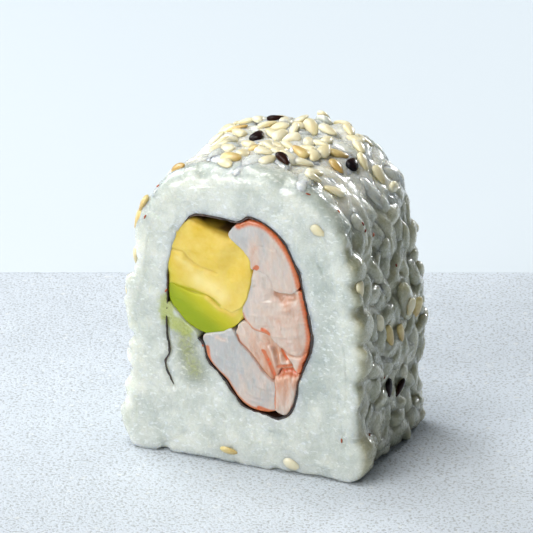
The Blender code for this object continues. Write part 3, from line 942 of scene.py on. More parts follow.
@dataclass(frozen=True)
class Loaf:
    """The pressed loaf: its outline at each depth, as distances from the section's centre."""

    height: float = 43.8
    left_half: float = 17.6
    right_half: float = 16.8
    right_spread: float = 1.5
    right_belly: float = 1.6
    belly_height: float = 19.0
    belly_reach: float = 9.0
    left_lean: float = 0.065
    right_lean: float = 0.085
    shoulder: float = 27.0
    arch_power: float = 2.75
    foot_radius: float = 2.2
    left_waves: tuple[Triple, ...] = ((21.5, 4.6, 0.85), (15.2, 1.3, -0.35), (7.5, 4.4, 0.5))
    low_rim: float = 1.2
    high_rim: float = 2.8
    right_rim: float = 1.5
    foot_rim: float = 2.2
    back_rim: float = 2.8
    floor: float = 0.02
    centre: tuple[float, float] = (0.0, 22.0)

    def side(self, half: float, lean: float, inset: float) -> Array:
        """The left half of the section, from the foot up to the crest.

        The foot is a quarter circle, the side a leaning line, and the arch a superellipse of arch_power.

        Args:
            half: half the width at the foot.
            lean: how far the side leans in for each millimetre up.
            inset: how far the section is drawn in.

        Returns:
            Points of shape (n, 2).
        """
        half -= inset
        top, floor = self.height - inset, self.floor + inset
        angle = np.linspace(0, 0.5 * np.pi, 12)
        foot = np.stack([-half + self.foot_radius * (1 - np.sin(angle)),
                         floor + self.foot_radius * (1 - np.cos(angle))], 1)
        rise = np.linspace(floor + self.foot_radius, self.shoulder, 40)[1:-1]
        line = np.vstack([foot, np.stack([np.full_like(rise, -half), rise], 1)])
        line[:, 0] += lean * line[:, 1]
        angle = np.linspace(0, 0.5 * np.pi, 80)
        reach = half - lean * self.shoulder
        arch = np.stack([-reach * np.cos(angle) ** (2 / self.arch_power),
                         self.shoulder + (top - self.shoulder) * np.sin(angle) ** (2 / self.arch_power)], 1)
        return np.vstack([line, arch])

    def outline(self, depth: float, inset: float) -> Array:
        """The closed section at a depth: the left side up, the right side down, and the base back.

        Each wave swells or dents the left side by push exp(-((z - middle) / reach)^2), and the right side has
        a belly of the same form, which grows towards the back.

        Args:
            depth: how far back the section is.
            inset: how far it is drawn in.

        Returns:
            Points of shape (n, 2).
        """
        spread = 0.45 + 0.55 * float(eased((depth + 10.0) / 16.0))
        left = self.side(self.left_half, self.left_lean, inset)
        for middle, reach, push in self.left_waves:
            left[:, 0] -= push * np.exp(-(((left[:, 1] - middle) / reach) ** 2))
        right = self.side(self.right_half + self.right_spread * spread, self.right_lean, inset)
        swell = np.exp(-(((right[:, 1] - self.belly_height) / self.belly_reach) ** 2))
        right[:, 0] -= self.right_belly * spread * swell
        mirrored = right[-2::-1] * (-1, 1)
        base = mirrored[-1] + (left[0] - mirrored[-1]) * np.linspace(0, 1, 40)[1:-1, None]
        return np.vstack([left, mirrored, base])

    def radii(self, outline: Array, angles: Array) -> Array:
        """Reads off between an outline's points how far it lies from the centre in each direction.

        Args:
            outline: points of shape (n, 2).
            angles: the directions.

        Returns:
            The distances.
        """
        arm = outline - np.asarray(self.centre)
        bearing = np.arctan2(arm[:, 1], arm[:, 0])
        order = np.argsort(bearing)
        return np.interp(angles, bearing[order], np.linalg.norm(arm, axis=1)[order], period=2 * np.pi)

    def front_rim(self, angles: Array) -> Array:
        """Rounds the front edge most at the top, and least on the left.

        Args:
            angles: the directions.

        Returns:
            The radius of the rounding in each direction.
        """
        over = (self.high_rim - self.low_rim) * np.maximum(np.sin(angles), 0) ** 1.5
        beside = (self.right_rim - self.low_rim) * np.maximum(np.cos(angles), 0) ** 1.2
        below = (self.foot_rim - self.low_rim) * np.maximum(-np.sin(angles), 0) ** 1.5
        return self.low_rim + np.maximum(np.maximum(over, below), beside)

    def ring(self, depth: float, inset: float, angles: Array) -> Array:
        """The outline's distances at a depth, drawn in by an inset."""
        return self.radii(self.outline(depth, inset), angles)

    def channel(self, depth: float, angles: Array) -> Array:
        """Runs the channel's edge just outside the seaweed, and over the rice's tongue.

        Args:
            depth: how far back.
            angles: the directions.

        Returns:
            The edge's distances from the centre.
        """
        line = curve_through(SEAWEED_LINE, 500)
        outside = line[:, :2] + (0.5 * line[:, 2:] + 0.02) * left_normals(line)
        wrapped = outside[np.argmax(outside[:, 1] > RICE_TONGUE[-1][1]):]
        edge = np.vstack([wrapped, curve_through(RICE_TONGUE, 24)])
        return self.radii(COURSE.carried(edge, depth)[:, [0, 2]], angles)

    def bearings(self, count: int) -> Array:
        """Picks directions from the centre that step evenly along the middle section's outline.

        Args:
            count: how many.

        Returns:
            The directions, from the foot up the left side.
        """
        outline = self.outline(0.0, 0.0)
        closed = np.vstack([outline, outline[:1]])
        length = np.concatenate([[0], np.cumsum(np.linalg.norm(np.diff(closed, axis=0), axis=1))])
        wanted = np.linspace(0, length[-1], count, endpoint=False)
        even = np.stack([np.interp(wanted, length, column) for column in closed.T], 1)
        even -= np.asarray(self.centre)
        return np.arctan2(even[:, 1], even[:, 0])


@dataclass(frozen=True)
class Smear:
    """A soft patch along a line on the front face: the line, its width, and how strongly it shows."""

    line: Points
    width: float
    share: float = 1.0

    def on(self, points: Array) -> Array:
        """Its strength at each point: share exp(-(distance / width)^2) at the front, and 0 further back."""
        away = distances(points[:, [0, 2]], curve_through(self.line, 30))
        return self.share * (np.exp(-((away / self.width) ** 2)) * (points[:, 1] < -HALF + 2.0))


# The rice's tongue is glassy and darker than the rest, and a little avocado is smeared over it and beside it.
TONGUE: Points = ((-8.4, 17.8), (-8.0, 15.6), (-7.0, 13.4))
GLASSY_SMEARS: tuple[Smear, ...] = (
    Smear(TONGUE, 1.8),
    Smear(((11.2, 31.0), (12.6, 25.0), (12.6, 19.0), (10.4, 13.0)), 1.6, 0.40),
)
MASH_SMEARS: tuple[Smear, ...] = (
    Smear(((-11.0, 23.2), (-11.2, 21.8), (-10.9, 20.5), (-9.7, 20.0), (-8.4, 19.4)), 1.3),
    Smear(((-6.4, 19.0), (-5.6, 18.7)), 0.5, 0.6),
    Smear(TONGUE, 1.8, 0.38),
)
# The tongue is also darkened and turned olive by the same multiply that paints shade on the sides.
WARM_SMEAR = Smear(TONGUE, 1.8, 0.85)


class Zone(Enum):
    """The stretches of the core's closed surface, in order."""

    FRONT = "front face"
    FRONT_RIM = "front rim"
    SIDES = "sides"
    BACK_RIM = "back rim"
    BACK = "back face"
    CHANNEL = "channel"


@dataclass(frozen=True)
class Bedded:
    """A grain pressed into the loaf: its middle, heading, side, radii and shade, and how cut it is."""

    middle: Array
    along: Array
    across: Array
    radii: Array
    shade: float
    cut: float

    @property
    def axes(self) -> Array:
        """Its three axes, square to each other."""
        side = unit(self.across - self.along * (self.across @ self.along))
        return np.stack([self.along, side, np.cross(self.along, side)])


def side_shade(points: Array) -> Array:
    """How much painted shade darkens the rice at each point: most on the right side, which lies in shade,
    least on the left side and the crest.
    """
    return (0.2 + 0.8 * eased((points[:, 0] + 2.0) / 10.0)) * (1 - 0.75 * eased((points[:, 2] - 33.0) / 6.0))


# Grains that stand out along the front edge and a little behind it: the place, the heading, the radii, and
# how far the grain stands out.
EDGE_GRAINS: tuple[tuple[Place, Place, Place, float], ...] = (
    ((13.4, -10.6, 38.2), (0.6, 0.0, -1.0), (3.0, 2.4, 2.0), 1.2),
    ((14.4, -11.0, 34.4), (0.0, 0.0, 1.0), (2.3, 2.2, 1.7), 0.6),
    ((14.4, -10.2, 30.8), (0.0, 0.3, 1.0), (2.4, 3.0, 2.4), 1.9),
    ((14.6, -10.8, 27.2), (0.0, 0.0, 1.0), (2.2, 2.4, 2.0), 1.0),
    ((15.3, -9.8, 22.4), (0.0, 0.1, 1.0), (3.2, 3.2, 2.8), 2.0),
    ((15.6, -10.2, 17.4), (0.0, -0.1, 1.0), (2.8, 3.0, 2.5), 1.8),
    ((15.6, -11.2, 13.2), (0.0, 0.2, 1.0), (2.2, 2.3, 1.8), 0.7),
    ((16.0, -11.2, 8.6), (0.0, 0.0, 1.0), (2.8, 2.3, 1.7), 0.5),
    ((16.2, -10.2, 4.2), (0.0, 0.4, 1.0), (2.6, 3.0, 2.3), 1.7),
    ((12.6, -11.0, 0.9), (1.0, 0.0, 0.0), (3.0, 2.2, 1.7), 0.6),
    ((15.2, -6.8, 33.4), (0.0, 0.4, 1.0), (2.8, 1.9, 1.7), 0.8),
    ((15.6, -6.2, 26.4), (0.0, 0.6, 1.0), (2.8, 1.9, 1.7), 0.8),
    ((16.4, -6.2, 12.6), (0.0, -0.3, 1.0), (3.0, 2.0, 1.8), 0.9),
    ((16.8, -5.4, 6.4), (0.0, 0.5, 1.0), (2.8, 1.9, 1.7), 0.8),
)


@dataclass
class RiceCore:
    """The pressed rice under the loose grains: a closed ring-shaped surface with a relief of grains."""

    loaf: Loaf
    columns: int = 540
    face_rows: int = 42
    rim_rows: int = 9
    side_rows: int = 74
    channel_rows: int = 6
    grain_radii: Triple = (3.0, 1.5, 1.25)
    spacing: float = 2.0
    lowest: float = -0.65
    highest: float = 1.8
    softened: int = 2
    rim_softened: int = 2
    blend: tuple[float, float] = (0.05, 0.24)
    release: float = 1.6
    seed: int = 11
    base: Array = field(init=False, repr=False)
    normals: Array = field(init=False, repr=False)
    zones: list[Zone] = field(init=False, repr=False)
    room: Array = field(init=False, repr=False)
    points: Array = field(init=False, repr=False)
    faces: Array = field(init=False, repr=False)
    tree: KDTree = field(init=False, repr=False)

    def surface(self) -> tuple[Array, list[Zone]]:
        """The smooth base surface, row by row: over the front face, along the sides and over the back face.

        Returns:
            Points of shape (rows, columns, 3), and each row's zone.
        """
        loaf, angles = self.loaf, self.loaf.bearings(self.columns)
        rows: list[tuple[Zone, Array | float, Array]] = []
        rim, edge = loaf.front_rim(angles), loaf.ring(-HALF, 0.0, angles)
        inner_front, inner_back = loaf.channel(-HALF, angles), loaf.channel(HALF, angles)
        outer_front, outer_back = edge - rim, loaf.ring(HALF, loaf.back_rim, angles)
        for share in np.linspace(0, 1, self.face_rows, endpoint=False):
            rows.append((Zone.FRONT, -HALF, inner_front + (outer_front - inner_front) * share))
        for turn in np.linspace(0, 0.5 * np.pi, self.rim_rows, endpoint=False):
            depths = -HALF + rim * (1 - math.cos(turn))
            rows.append((Zone.FRONT_RIM, depths, edge - rim * (1 - math.sin(turn))))
        for share in np.linspace(0, 1, self.side_rows, endpoint=False):
            depths = -HALF + rim + (2 * HALF - rim - loaf.back_rim) * share
            middle = -HALF + loaf.low_rim + (2 * HALF - loaf.low_rim - loaf.back_rim) * share
            rows.append((Zone.SIDES, depths, loaf.ring(middle, 0.0, angles)))
        for turn in np.linspace(0.5 * np.pi, 0, self.rim_rows, endpoint=False):
            depth = HALF - loaf.back_rim * (1 - math.cos(turn))
            inset = loaf.back_rim * (1 - math.sin(turn))
            rows.append((Zone.BACK_RIM, depth, loaf.ring(depth, inset, angles)))
        for share in np.linspace(0, 1, self.face_rows, endpoint=False):
            rows.append((Zone.BACK, HALF, outer_back + (inner_back - outer_back) * share))
        for share in np.linspace(0, 1, self.channel_rows, endpoint=False):
            wall = inner_back + (inner_front - inner_back) * share
            rows.append((Zone.CHANNEL, HALF - 2 * HALF * share, wall))
        radii = np.array([row[2] for row in rows])
        depths = np.array([np.broadcast_to(row[1], self.columns) for row in rows])
        points = np.stack([loaf.centre[0] + radii * np.cos(angles), depths,
                           loaf.centre[1] + radii * np.sin(angles)], -1)
        return points, [row[0] for row in rows]

    def where(self, *zones: Zone) -> Array:
        """Whether each row lies in one of the zones."""
        return np.array([zone in zones for zone in self.zones])

    def scattered(self, rng: np.random.Generator, allowed: Array, spacing: float) -> Array:
        """Picks base points in random order, none nearer to another than a spacing.

        Args:
            rng: random numbers.
            allowed: whether each row may be picked from.
            spacing: the least distance.

        Returns:
            The numbers of the points.
        """
        flat = self.base.reshape(-1, 3)
        kept: list[int] = []
        free = np.repeat(allowed, self.columns)
        for index in rng.permutation(np.flatnonzero(free)):
            if free[index]:
                kept.append(int(index))
                free[[hit[1] for hit in self.tree.find_range(flat[index], spacing)]] = False
        return np.array(kept)

    def ceiling(self) -> Array:
        """How far each point may move along its normal before it leaves the roll's two cut planes."""
        depth, facing = self.base[..., 1].ravel(), self.normals[..., 1].ravel()
        room = HALF + depth * np.where(facing < 0, 1.0, -1.0)
        return np.clip(room / np.maximum(np.abs(facing), 0.02), 0.0, 9.0)

    def bedded(self, rng: np.random.Generator) -> list[Bedded]:
        """Beds random grains everywhere, and the ones that stand out along the front edge.

        Args:
            rng: random numbers.

        Returns:
            The grains.
        """
        flat, normals = self.base.reshape(-1, 3), self.normals.reshape(-1, 3)
        cut = 1 - eased(self.room / self.release)
        grains = []
        for index in self.scattered(rng, ~self.where(Zone.CHANNEL), self.spacing):
            normal = normals[index]
            along = unit(unit(np.cross(normal, rng.normal(size=3))) + normal * rng.normal() * 0.22)
            across = unit(np.cross(normal, along)) + normal * rng.normal() * 0.35
            radii = np.array(self.grain_radii) * rng.uniform(0.82, 1.18, 3)
            sunk = rng.uniform(0.15, 0.6) * cut[index] + rng.uniform(0.7, 1.25) * (1 - cut[index])
            shade = rng.uniform(0.1, 0.7) * (1 - cut[index]) + rng.uniform(0.3, 0.62) * cut[index]
            grains.append(Bedded(flat[index] - normal * sunk, along, across, radii, shade, cut[index]))
        for place, heading, radii, push in EDGE_GRAINS:
            index = self.tree.find(place)[1]
            normal = normals[index]
            along = unit(np.asarray(heading) - normal * (normal @ heading))
            grains.append(Bedded(flat[index] - normal * (radii[2] - push), along, np.cross(normal, along),
                                 np.asarray(radii), rng.uniform(0.2, 0.6), 0.0))
        return grains

    def relief(self, rng: np.random.Generator) -> tuple[Array, Array]:
        """How far each point stands proud of the base surface.

        A grain is an ellipsoid bedded under the surface. Along a point's normal n, the grain's top is the
        larger root h of |M (x + h n - c)| = 1, where M turns space to the grain's axes and divides by its
        radii. The knife's cut planes hold the top down, a little unevenly. The highest top wins, by a soft
        maximum.

        Args:
            rng: random numbers.

        Returns:
            The heights and the winning grain's tint, both of shape (rows, columns).
        """
        flat, normals = self.base.reshape(-1, 3), self.normals.reshape(-1, 3)
        height = np.where(self.room > 0.0, self.lowest, -0.15)
        tint = np.full(len(flat), 0.35)
        for grain in self.bedded(rng):
            near = np.array([hit[1] for hit in self.tree.find_range(grain.middle, grain.radii.max() + 0.8)])
            turn = grain.axes.T / grain.radii
            start, step = (flat[near] - grain.middle) @ turn, normals[near] @ turn
            a, b, c = (step**2).sum(1), (start * step).sum(1), (start**2).sum(1) - 1
            inside = b * b - a * c
            top = np.where(inside > 0, (-b + np.sqrt(np.maximum(inside, 0))) / a, -9.0)
            uneven = rng.uniform(-0.06, 0.06)
            cut = uneven + (flat[near] - grain.middle) @ rng.normal(0, 0.015, 3) + self.room[near]
            over = np.clip(0.5 + 0.5 * (top - cut) / 0.2, 0, 1)
            top = top + (cut - top) * over - 0.2 * over * (1 - over)
            blend = self.blend[0] + (self.blend[1] - self.blend[0]) * grain.cut
            mix = np.clip(0.5 + 0.5 * (top - height[near]) / blend, 0, 1)
            height[near] += (top - height[near]) * mix + blend * mix * (1 - mix)
            tint[near] += (grain.shade - tint[near]) * mix
        shape = self.base.shape[:2]
        return height.reshape(shape), tint.reshape(shape)

    def rubbed(self, height: Array) -> Array:
        """Mixes the relief with its neighbours' mean: all over, and along each row of the front rim again.

        Args:
            height: the relief.

        Returns:
            The softer relief.
        """
        for _ in range(self.softened):
            across = np.roll(height, 1, 1) + np.roll(height, -1, 1)
            height = 0.5 * height + 0.125 * (across + np.roll(height, 1, 0) + np.roll(height, -1, 0))
        rim = slice(self.face_rows - 2, self.face_rows + self.rim_rows + 8)
        for _ in range(self.rim_softened):
            across = np.roll(height, 1, 1)[rim] + np.roll(height, -1, 1)[rim]
            height[rim] = 0.5 * height[rim] + 0.25 * across
        return height

    def crest(self) -> Array:
        """How far each point lies up on the crest, from 0 to 1."""
        return eased((self.base[..., 2] - 35.0) / 5.0)

    def painted_light_and_shade(self, tint: Array) -> Array:
        """Paints light and shade into the tint, on the crest and along the top of the front rim.

        The tint rises on the crest, but for its front, to lighten the rice that the seeds shade, and falls
        along the top of the front rim, where the light falls strongest.

        Args:
            tint: each point's tint.

        Returns:
            The new tint.
        """
        tint = tint + 1.2 * self.crest() * (1 - 0.9 * eased((-7.0 - self.base[..., 1]) / 4.0))
        behind = self.base[..., 1] + HALF
        high = 0.7 * eased((self.base[..., 2] - 33.0) / 5.0)
        return tint - high * eased(behind / 0.8) * (1 - eased((behind - 1.8) / 2.0))

    def fading(self) -> Array:
        """Fades the relief out towards the channel's mouths, and in the channel.

        Returns:
            A share for each row.
        """
        fade = np.where(self.where(Zone.CHANNEL), 0.0, 1.0)
        steps = eased((np.arange(self.face_rows) + 0.5) / 3.0)
        fade[:self.face_rows] = steps
        fade[-self.channel_rows - self.face_rows:-self.channel_rows] = steps[::-1]
        return fade

    def shape(self) -> Array:
        """Moves the base surface by its relief, keeping it off the board and the channel's wall smooth.

        The seaweed's free tail lies in a groove 0.30 deep, exp(-(distance / 0.55)^2) across.

        Returns:
            Each point's tint.
        """
        rng = np.random.default_rng(self.seed)
        self.base, self.zones = self.surface()
        down = np.roll(self.base, -1, 0) - np.roll(self.base, 1, 0)
        side = np.roll(self.base, -1, 1) - np.roll(self.base, 1, 1)
        self.normals = unit(np.cross(side, down))
        self.tree, self.room = tree_of(self.base.reshape(-1, 3)), self.ceiling()
        height, tint = self.relief(rng)
        height = self.rubbed(height)
        height *= 1 - self.crest() * (0.35 + 0.25 * eased((-3.0 - self.base[..., 1]) / 5.0))
        cut = np.repeat(self.where(Zone.FRONT, Zone.BACK)[:, None], self.columns, 1)
        height += np.where(cut, 0.14, 0.32) * NOISE.at(self.base, 6.0) + 0.05 * NOISE.at(self.base, 0.8, 2)
        front = self.base[:self.face_rows].reshape(-1, 3)[:, [0, 2]]
        tail = distances(front, curve_through(SEAWEED_LINE[:9], 60))
        height[:self.face_rows] -= 0.30 * np.exp(-((tail / 0.55) ** 2)).reshape(self.face_rows, -1)
        foot = eased((self.base[..., 2] - self.loaf.floor + 0.5) / 1.2)
        height = np.clip(height, self.lowest, self.highest) * self.fading()[:, None] * foot
        moved = self.base + self.normals * height[..., None]
        moved[..., 2] = np.maximum(moved[..., 2], self.loaf.floor)
        self.points = moved.reshape(-1, 3)
        self.faces = turned_outwards(grid_faces(len(self.zones), self.columns, wrap_rows=True), self.points)
        return self.painted_light_and_shade(tint).ravel()

    def build(self, finish: Material) -> None:
        """Makes the core's piece.

        Args:
            finish: the rice's material.
        """
        tint = self.shape()
        for smear in GLASSY_SMEARS:
            tint -= smear.on(self.points)
        mash = np.maximum.reduce([smear.on(self.points) for smear in MASH_SMEARS])
        # Painted shade on the sides, most on the right side, carried by the warm attribute.
        sides = eased((self.room - 0.3) / 2.0) * side_shade(self.points)
        warm = np.maximum(sides, WARM_SMEAR.on(self.points))
        core = mesh_object("rice_core", to_row(self.points), self.faces, tint=tint, mash=mash, warm=warm)
        hand_over(core, finish, "rice", "rice")


PROBE = 4.0


class RiceSurface:
    """Finds where things rest on the finished rice."""

    def __init__(self, core: RiceCore) -> None:
        """Keeps the core's smooth base for directions, and its finished surface for heights.

        Args:
            core: the finished core.
        """
        mantle = ~core.where(Zone.CHANNEL)
        self.base = core.base[mantle].reshape(-1, 3)
        self.normals = core.normals[mantle].reshape(-1, 3)
        self.nearest = tree_of(self.base)
        self.points, self.faces = core.points, core.faces
        self.tree = BVHTree.FromPolygons(self.points.tolist(), self.faces.tolist())

    def add(self, points: Array, faces: Array) -> None:
        """Lets later things rest on these triangles too, and cuts the core's quads in two to match them.

        Args:
            points: their points.
            faces: the triangles.
        """
        halves = np.vstack([self.faces[:, [0, 1, 2]], self.faces[:, [0, 2, 3]]])
        self.faces = np.vstack([halves, faces + len(self.points)])
        self.points = np.vstack([self.points, points])
        self.tree = BVHTree.FromPolygons(self.points.tolist(), self.faces.tolist())

    def height(self, place: Array, normal: Array) -> float:
        """How far the surface stands over a place along a normal, by a ray shot down from PROBE above it."""
        hit = self.tree.ray_cast(Vector(place + normal * PROBE), Vector(-normal), 2 * PROBE)
        return PROBE - hit[3] if hit[0] is not None else 0.0

    def seat(self, place: Array, heading: Array, length: float, lift: float, lean: float = 0.0) -> Seat:
        """Lays something down along a heading, tipped the way the surface falls under its ends.

        Args:
            place: a point near the surface.
            heading: the way it should lie, which is turned to follow the surface.
            length: how long it is.
            lift: how far its middle stands over what it rests on.
            lean: a turn about its own length, in radians.

        Returns:
            Its seat.
        """
        index = self.nearest.find(place)[1]
        base, normal = self.base[index], self.normals[index]
        along = unit(heading - normal * (heading @ normal))
        ends = [self.height(base + along * step * 0.38 * length, normal) for step in (-1, 1)]
        middle = max(self.height(base, normal), 0.5 * sum(ends))
        slope = np.clip((ends[1] - ends[0]) / (0.76 * length), -0.6, 0.6)
        along = unit(along + normal * slope)
        across = unit(np.cross(normal, along))
        up = np.cross(along, across)
        leaned = across * math.cos(lean) + up * math.sin(lean)
        return Seat(base + normal * (middle + lift), np.stack([along, leaned, np.cross(along, leaned)]))


@dataclass
class LooseRice:
    """Single grains that stand out of the pressed rice."""

    surface: RiceSurface
    core: RiceCore
    spacing: float = 3.7
    seed: int = 23

    def build(self, finish: Material) -> None:
        """Scatters the grains over the sides and the top at every angle, off the foot and the front edge.

        Args:
            finish: the rice's material.
        """
        rng = np.random.default_rng(self.seed)
        zones = self.core.where(Zone.SIDES, Zone.BACK_RIM, Zone.FRONT_RIM)
        spots = self.core.base.reshape(-1, 3)[self.core.scattered(rng, zones, self.spacing)]
        spots = spots[(spots[:, 2] > 2.0) & (spots[:, 1] > -HALF + 3.0)]
        sizes = rng.uniform((5.0, 2.7, 2.0), (6.6, 3.5, 2.5), (len(spots), 3))
        seats = [self.surface.seat(spot, rng.normal(size=3), size[0], rng.uniform(-0.50, -0.28) * size[2],
                                   rng.uniform(-0.5, 0.5)) for spot, size in zip(spots, sizes)]
        bead = Bead(rings=12, columns=16, blunt=0.68, taper=0.10, dents=0.22)
        points, faces = bead.copies(seats, sizes, rng.uniform(-0.3, 0.2, len(seats)), spare=0.3)
        points[:, 2] = np.maximum(points[:, 2], self.core.loaf.floor)
        tint = np.repeat(rng.uniform(0.2, 0.9, len(seats)), bead.size)
        self.surface.add(points, faces)
        # Painted shade on the grains of the sides, as on the core.
        warm = eased((points[:, 1] + HALF - 1.0) / 3.0) * side_shade(points)
        grains = mesh_object("rice_grains", to_row(points), faces, tint=tint, warm=warm)
        hand_over(grains, finish, "rice", "rice")


# ---- seaweed and fillings


@dataclass
class Seaweed:
    """The sheet of seaweed around the filling: wrinkled, torn along its edges, as thick as its line says."""

    samples: int = 460
    rows: int = 44
    share: float = 0.7
    tuck: float = 0.7
    tuck_middle: tuple[float, float] = (-10.2, 31.6)
    tuck_reach: float = 3.6
    wrinkle: float = 0.10
    tear: float = 0.16
    sag: float = 1.5
    sag_middle: tuple[float, float] = (-4.0, 36.5)
    sag_reach: float = 3.0

    def build(self, finish: Material) -> None:
        """Makes the sheet: at each depth a thin loop around the line, closed by a strip at both ends.

        Inside the roll the sheet sags onto the avocado, so that the pocket above the avocado ends there. Its
        edges are tucked in on the upper left, where the rice hides them.

        Args:
            finish: the seaweed's material.
        """
        line = curve_through(SEAWEED_LINE, self.samples)
        normals, centre, thickness = left_normals(line), line[:, :2], line[:, 2]
        along = np.arange(self.samples) * 0.25
        near = np.exp(-(distances(centre, np.array([self.sag_middle])) / self.sag_reach) ** 2)
        tucked = self.tuck * np.exp(-(distances(centre, np.array([self.tuck_middle])) / self.tuck_reach) ** 4)
        loops, depths = [], []
        for depth in np.linspace(-HALF, HALF, self.rows):
            place = np.stack([along, np.full_like(along, depth), np.zeros_like(along)], 1)
            inside = eased((depth + HALF - 0.8) / 3.5) * eased((HALF - 0.8 - depth) / 3.5)
            wrinkled = self.wrinkle * NOISE.at(place, 1.3, 2) * (0.4 + 0.6 * thickness / 0.4)
            bow = wrinkled - self.sag * near * inside
            half = 0.5 * thickness * (1 + 0.35 * NOISE.at(place + 50.0, 0.7, 2))
            outer = centre + normals * (bow + half)[:, None]
            inner = centre + normals * (bow + half * (1 - 2 * self.share))[:, None]
            loops.append(np.vstack([outer, inner[::-1]]))
            end = 1 - min(1.0, (HALF - abs(depth)) / 1.2)
            torn = self.tear * end * NOISE.at(place + 90.0, 0.6, 2) * -np.sign(depth)
            torn = torn + tucked * end * -np.sign(depth)
            depths.append(np.concatenate([depth + torn, (depth + torn)[::-1]]))
        section, depth = np.vstack(loops), np.concatenate(depths)
        ring = 2 * self.samples
        here = np.arange(self.samples - 1)
        front = np.stack([here, here + 1, ring - 2 - here, ring - 1 - here], 1)
        last = (self.rows - 1) * ring
        faces = np.vstack([grid_faces(self.rows, ring)[:, ::-1], front[:, ::-1], front + last])
        points = COURSE.carried(section, depth)
        faces = turned_outwards(faces, points)
        hand_over(mesh_object("seaweed", to_row(points), faces), finish, "seaweed", "nori")


@dataclass(frozen=True)
class Mark:
    """A line on a cut face that presses a groove, or raises a ridge, and colours what is near it."""

    line: Points
    width: float
    groove: float = 0.0
    skin: float = 0.0
    tint: float = 0.0

    def nearness(self, section: Array) -> Array:
        """How near each point is to the line: exp(-(distance / width)^2)."""
        return np.exp(-((distances(section, curve_through(self.line, 50)) / self.width) ** 2))


@dataclass(frozen=True)
class Shade:
    """A tint that runs evenly from one place on the cut face to another."""

    start: tuple[float, float]
    end: tuple[float, float]
    low: float
    high: float

    def at(self, section: Array) -> Array:
        """The tint at each point: the share of the way from start to end, eased."""
        way = np.subtract(self.end, self.start)
        return self.low + (self.high - self.low) * eased((section - self.start) @ way / (way @ way))


# How finely the filling's strips are meshed: along their outlines, on their cut faces, and in depth. Then how
# strongly a groove's depth is painted as shade in its colour.
FILLING_STEP = 0.16
FILLING_LATTICE = 0.17
FILLING_WALLS = 24
GROOVE_SHADE = 2.5


@dataclass(frozen=True)
class Filling:
    """One strip of the filling: a prism of its outline with soft rims, fibres and marks on its cut faces."""

    name: str
    node: str
    outline: Points
    shade: Shade
    marks: tuple[Mark, ...] = ()
    setback: float = 0.3
    rim: float = 0.6
    crown: float = 0.35
    slope: tuple[float, float] = (0.0, 0.0)
    outset: float = 0.13
    fibre: Triple = (0.6, 0.6, 0.07)
    fibre_turn: float = 0.0
    ragged: float = 0.0
    swell: float = 0.08

    def relief(self, prism: Prism, flip: float) -> Array:
        """How far each point of a cut face is pressed in.

        The crown lifts the middle as a smooth step of the distance to the outline, the slope tips the face,
        noise stretched along the fibres roughens it, and each mark adds its groove to the front face.

        Args:
            prism: the strip's body.
            flip: 1 for the front face and -1 for the back.

        Returns:
            The depth at each point.
        """
        section = prism.section
        centred = section - prism.outline.mean(0)
        cosine, sine = math.cos(self.fibre_turn), math.sin(self.fibre_turn)
        turned = np.stack([section[:, 0] * cosine + section[:, 1] * sine,
                           section[:, 1] * cosine - section[:, 0] * sine,
                           np.full(len(section), 9.0 * flip)], 1)
        length, width, height = self.fibre
        free = eased(prism.inwards / 0.3)
        pressed = -height * NOISE.at(turned, (length, width, 1.0), 2) * free
        pressed -= self.swell * NOISE.at(turned, 2.4) * free
        pressed += centred @ np.asarray(self.slope) - self.crown * eased(prism.inwards / 2.8)
        if flip > 0:
            pressed += sum(mark.groove * mark.nearness(section) for mark in self.marks)
        return pressed

    def build(self, finish: Material, slot: str) -> None:
        """Makes the strip's piece, with its tint, skin, painted highlights and grooves kept for the material.

        The avocado's material paints shade in the grooves.

        Args:
            finish: the strip's material.
            slot: the record's material slot.
        """
        length = np.linalg.norm(np.diff(np.asarray(self.outline), axis=0), axis=1).sum()
        outline = curve_through(self.outline, int(length / FILLING_STEP), closed=True)
        travel = np.roll(outline, -1, 0) - np.roll(outline, 1, 0)
        outward = unit(np.stack([travel[:, 1], -travel[:, 0]], 1))
        area = (outline[:, 0] * np.roll(outline[:, 1], -1) - np.roll(outline[:, 0], -1) * outline[:, 1]).sum()
        if area < 0:
            outline, outward = outline[::-1], -outward[::-1]
        place = np.column_stack([outline, np.full(len(outline), 3.0)])
        outline = outline + outward * (self.ragged * NOISE.at(place, 0.9, 2) + self.outset)[:, None]
        prism = Prism(outline, FILLING_LATTICE, -HALF + self.setback, HALF - self.setback, self.rim,
                      FILLING_WALLS)
        section, depth, faces = prism.body(self.relief(prism, 1.0), self.relief(prism, -1.0))
        tint, skin, groove = self.shade.at(section), np.zeros(len(section)), np.zeros(len(section))
        for mark in self.marks:
            near = mark.nearness(section)
            tint += mark.tint * near
            skin = np.maximum(skin, mark.skin * near)
            # The groove's depth is kept too, as painted shade for the avocado's material.
            groove = np.maximum(groove, GROOVE_SHADE * mark.groove * near)
        points = COURSE.carried(section, depth)
        item = mesh_object(self.name, to_row(points), turned_outwards(faces, points), tint=tint, skin=skin,
                           groove=groove)
        hand_over(item, finish, slot, self.node)


